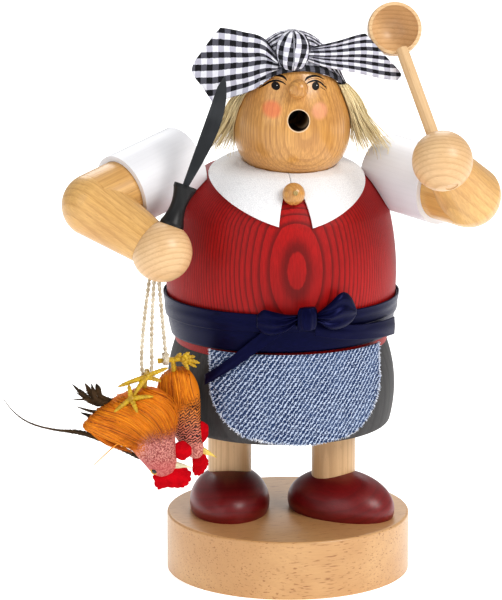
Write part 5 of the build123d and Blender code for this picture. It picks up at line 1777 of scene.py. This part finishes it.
def makeFelt():
    material, tree, shader = startMaterial("redFelt", Roughness=0.95, Specular_IOR_Level=0.1)
    place = objectPlace(tree)
    shade = shadeOf(tree, place, 230.0)
    fibres = noiseOf(tree, place, 3800, 4, 0.7)
    colour = mixColours(tree, shade["Patches"], (0.56, 0.002, 0.010, 1), (0.38, 0.001, 0.007, 1))
    colour = mixColours(tree, between(tree, fibres, 0.55, 0.7), colour, (0.70, 0.015, 0.025, 1))
    finishMaterial(tree, shader, colour, fibres, 0.8, 0.2 * mm)
    for name, (node, front, scallops, shares) in felt["pieces"].items():
        count = 120
        corners = [*shares, shares[0]]
        spread = [index / len(shares) for index in range(len(corners))]
        lists = [[(part, corner[axis]) for part, corner in zip(spread, corners)] for axis in (0, 1)]
        middle = [sum(corner[axis] for corner in shares) / len(shares) for axis in (0, 1)]
        outline = []
        for index in range(count):
            share = index / count
            point = [alongList(lists[0], share), alongList(lists[1], share)]
            scallop = abs(math.sin(share * math.pi * scallops * 1.6)) ** 0.7
            push = 0.97 + 0.09 * scallop + random.uniform(-0.01, 0.01)
            outline.append([middle[axis] + (point[axis] - middle[axis]) * push for axis in (0, 1)])
        points = []
        levels = feltSection + tuple((scale, -level) for scale, level in reversed(feltSection))
        for scale, level in levels:
            for point in outline:
                spot = [middle[axis] + (point[axis] - middle[axis]) * max(scale, 0.02) for axis in (0, 1)]
                points.append(fowlSpot(*spot, front) + fowlPlane["front"] * level * felt["thickness"])
        faces = closedFaces(len(levels), count)
        piece = makePiece(name, points, faces, material, figure["fowl"], "red_felt")
        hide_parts(node)


makeFelt()

# Beaks: two halves that meet in a point
beaks = {
    "radius": 1.7 * mm,
    "length": 7.5 * mm,
    "near": ("fowlNearBeak", "fowl_near_beak", (0.36, -7.42, 0.56), 0.42, -6, (0.86, 0.76, 0.50, 1)),
    "far": ("fowlFarBeak", "fowl_far_beak", (1.56, -7.06, 0.4), -0.86, -24, (0.88, 0.62, 0.12, 1)),
}


def makeBeaks():
    for name, node, head, front, turn, colour in (beaks["near"], beaks["far"]):
        material, tree, shader = startMaterial(f"{name}Horn", Roughness=0.4, Coat_Weight=0.3)
        shade = shadeOf(tree, objectPlace(tree), 380.0)
        dull = [part * 0.6 for part in colour[:3]] + [1]
        mixed = mixColours(tree, shade["Patches"], colour, dull)
        finishMaterial(tree, shader, mixed, shade["Grit"], 0.3, 0.08 * mm)
        bearing = math.radians(turn)
        direction = fowlPlane["right"] * math.cos(bearing) + up * math.sin(bearing)
        side = fowlPlane["right"] * -math.sin(bearing) + up * math.cos(bearing)
        root = fowlSpot(head[0], head[1], front) + direction * (head[2] * fowlPlane["unit"] - 1.5 * mm)
        target = ([], [])
        for half, reach, sign in ((0.66, 1.0, 1), (0.5, 0.86, -1)):
            line, radii = [], []
            for index in range(16):
                share = index / 15
                line.append(root + direction * (share * beaks["length"] * reach)
                            + side * sign * (0.55 * (1 - share) - 0.25 * share**3) * mm)
                radii.append(beaks["radius"] * half * (1 - share**1.4) + 0.1 * mm)
            addTube(line, radii, 14, target)
        piece = makePiece(name, target[0], target[1], material, figure["fowl"], "beak")
        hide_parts(node)


makeBeaks()

# Tail: dark feathers with quills and barbs, the long plume and one bare orange quill
tail = {
    "front": 0.42,
    "feathers": (  # root, tip, bend, half width in mm, front
        ((-1.65, -5.05), (-3.26, -4.12), 0.12, 1.3, 0.42),
        ((-1.55, -4.95), (-2.76, -4.1), 0.18, 1.7, 0.34),
        ((-1.45, -4.85), (-2.3, -4.08), 0.24, 1.9, 0.5),
        ((-1.7, -5.15), (-3.34, -4.76), -0.12, 0.55, 0.46),
        ((-1.75, -5.25), (-2.95, -5.3), 0.16, 1.0, 0.36),
        ((-1.6, -5.0), (-2.98, -4.34), 0.16, 1.2, 0.3),
        ((-1.5, -4.9), (-2.5, -4.06), 0.28, 1.4, 0.55),
        ((-1.7, -5.2), (-3.1, -5.02), 0.08, 0.7, 0.5),
        ((-1.6, -5.05), (-3.12, -4.5), 0.1, 0.8, 0.26),
    ),
    "plume": ((-0.5, -7.2), (-1.3, -6.78), (-2.2, -6.36), (-2.91, -6.12), (-3.9, -6.0), (-4.61, -5.84),
              (-5.2, -5.58),
              (-5.68, -5.16), (-6.0, -4.72)),
    "quill": ((-1.22, -6.37), (-1.55, -6.57), (-2.0, -6.98), (-2.4, -7.38)),
    "shape": ((0, 0.5), (0.3, 1), (0.6, 0.85), (0.85, 0.4), (1, 0.05)),  # place along, part of the width
}


def addFeather(target, line, widths, barbs, sweep):
    # Barbs leave the quill on both sides, swept toward the tip
    quill = [0.34 * mm * (1 - 0.8 * index / (len(line) - 1)) for index in range(len(line))]
    addTube(line, quill, 6, target)
    for index in range(1, barbs):
        share = index / barbs
        place = share * (len(line) - 1)
        low = int(place)
        base = line[low].lerp(line[min(low + 1, len(line) - 1)], place - low)
        along = (line[min(low + 1, len(line) - 1)] - line[low]).normalized()
        aside = along.cross(fowlPlane["front"]).normalized()
        width = alongList(widths, share) * mm
        for sign in (-1, 1):
            reach = width * random.uniform(0.8, 1.08)
            lean = fowlPlane["front"] * random.uniform(-0.25, 0.25) * mm
            end = base + aside * sign * reach + along * reach * sweep + lean
            middle = (base + end) / 2 + along * reach * -0.12
            addTube([base, middle, end], [0.16 * mm, 0.17 * mm, 0.05 * mm], 3, target)


def makeTail():
    material, tree, shader = startMaterial("darkFeather", Roughness=0.5, Specular_IOR_Level=0.25)
    place = objectPlace(tree)
    island = islandOf(tree)
    shade = shadeOf(tree, place, 160.0)
    colour = mixColours(tree, island, (0.006, 0.005, 0.005, 1), (0.045, 0.028, 0.014, 1))
    colour = tinted(tree, colour, (0.15, 0.075, 0.025, 1), shade["Patches"], 0.5)
    finishMaterial(tree, shader, colour, shade["Grit"], 0.4, 0.05 * mm)
    target = ([], [])
    for root, tip, bend, width, front in tail["feathers"]:
        middle = ((root[0] + tip[0]) / 2 - (tip[1] - root[1]) * bend,
                  (root[1] + tip[1]) / 2 + (tip[0] - root[0]) * bend)
        line = bentLine([fowlSpot(*root, front), fowlSpot(*middle, front), fowlSpot(*tip, front)], 24)
        widths = [(share, width * part) for share, part in tail["shape"]]
        addFeather(target, line, widths, 90, 1.5)
    piece = makePiece("fowlNearTail", target[0], target[1], material, figure["fowl"], "dark_feather")
    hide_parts("fowl_near_tail")
    target = ([], [])
    line = bentLine([fowlSpot(*spot, tail["front"]) for spot in tail["plume"]], 60)
    addFeather(target, line, ((0, 0.9), (0.2, 1.05), (0.42, 1.1), (0.55, 0.55), (0.8, 0.3), (1, 0.08)), 240,
               1.7)
    piece = makePiece("fowlNearPlume", target[0], target[1], material, figure["fowl"], "dark_feather")
    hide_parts("fowl_near_plume")
    target = ([], [])
    line = bentLine([fowlSpot(*spot, tail["front"] + 0.25) for spot in tail["quill"]], 30)
    addTube(line, [0.34 * mm * (1 - 0.55 * index / 29) for index in range(30)], 8, target)
    makePiece("fowlQuill", target[0], target[1], makePaint("orangeQuill", (0.72, 0.28, 0.04, 1), 0.45),
              figure["fowl"],
              "orange_feather")


makeTail()


# Bead eye: a round glass bead in a ring of bare skin
beadEye = {
    "spot": (0.0, -7.62, 0.66),
    "radius": 1.15 * mm,
    "rimRadius": 1.3 * mm,
    "rimThick": 0.3 * mm,
}


def makeBeadEye():
    material, tree, shader = startMaterial("blackBead", Roughness=0.12, Coat_Weight=0.6)
    shade = shadeOf(tree, objectPlace(tree), 300.0)
    colour = mixColours(tree, shade["Patches"], (0.004, 0.004, 0.004, 1), (0.012, 0.010, 0.010, 1))
    tree.links.new(colour, shader.inputs["Base Color"])
    centre = fowlSpot(*beadEye["spot"])
    rows, columns = 16, 24
    points = []
    for row in range(rows):
        tilt = math.pi * (row + 0.5) / rows
        for column in range(columns):
            turn = 2 * math.pi * column / columns
            direction = Vector((math.sin(tilt) * math.cos(turn), math.sin(tilt) * math.sin(turn),
                                -math.cos(tilt)))
            points.append(centre + direction * beadEye["radius"])
    faces = closedFaces(rows, columns)
    piece = makePiece("fowlNearEye", points, faces, material, figure["fowl"], "black_bead")
    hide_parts("fowl_near_eye")
    steps, corners = 32, 8
    points = []
    for step in range(steps):
        turn = 2 * math.pi * step / steps
        radial = fowlPlane["right"] * math.cos(turn) + up * math.sin(turn)
        for corner in range(corners):
            angle = 2 * math.pi * corner / corners
            offset = radial * math.cos(angle) - fowlPlane["front"] * math.sin(angle)
            points.append(centre + radial * beadEye["rimRadius"] + offset * beadEye["rimThick"])
    faces = [tuple(index % len(points) for index in face) for face in gridFaces(steps + 1, corners, True)]
    makePiece("fowlNearLid", points, faces, makePaint("yellowLid", (0.62, 0.36, 0.05, 1), 0.5),
              figure["fowl"],
              "orange_feather")


makeBeadEye()
print("fowl: feet, felt, beaks and tail")
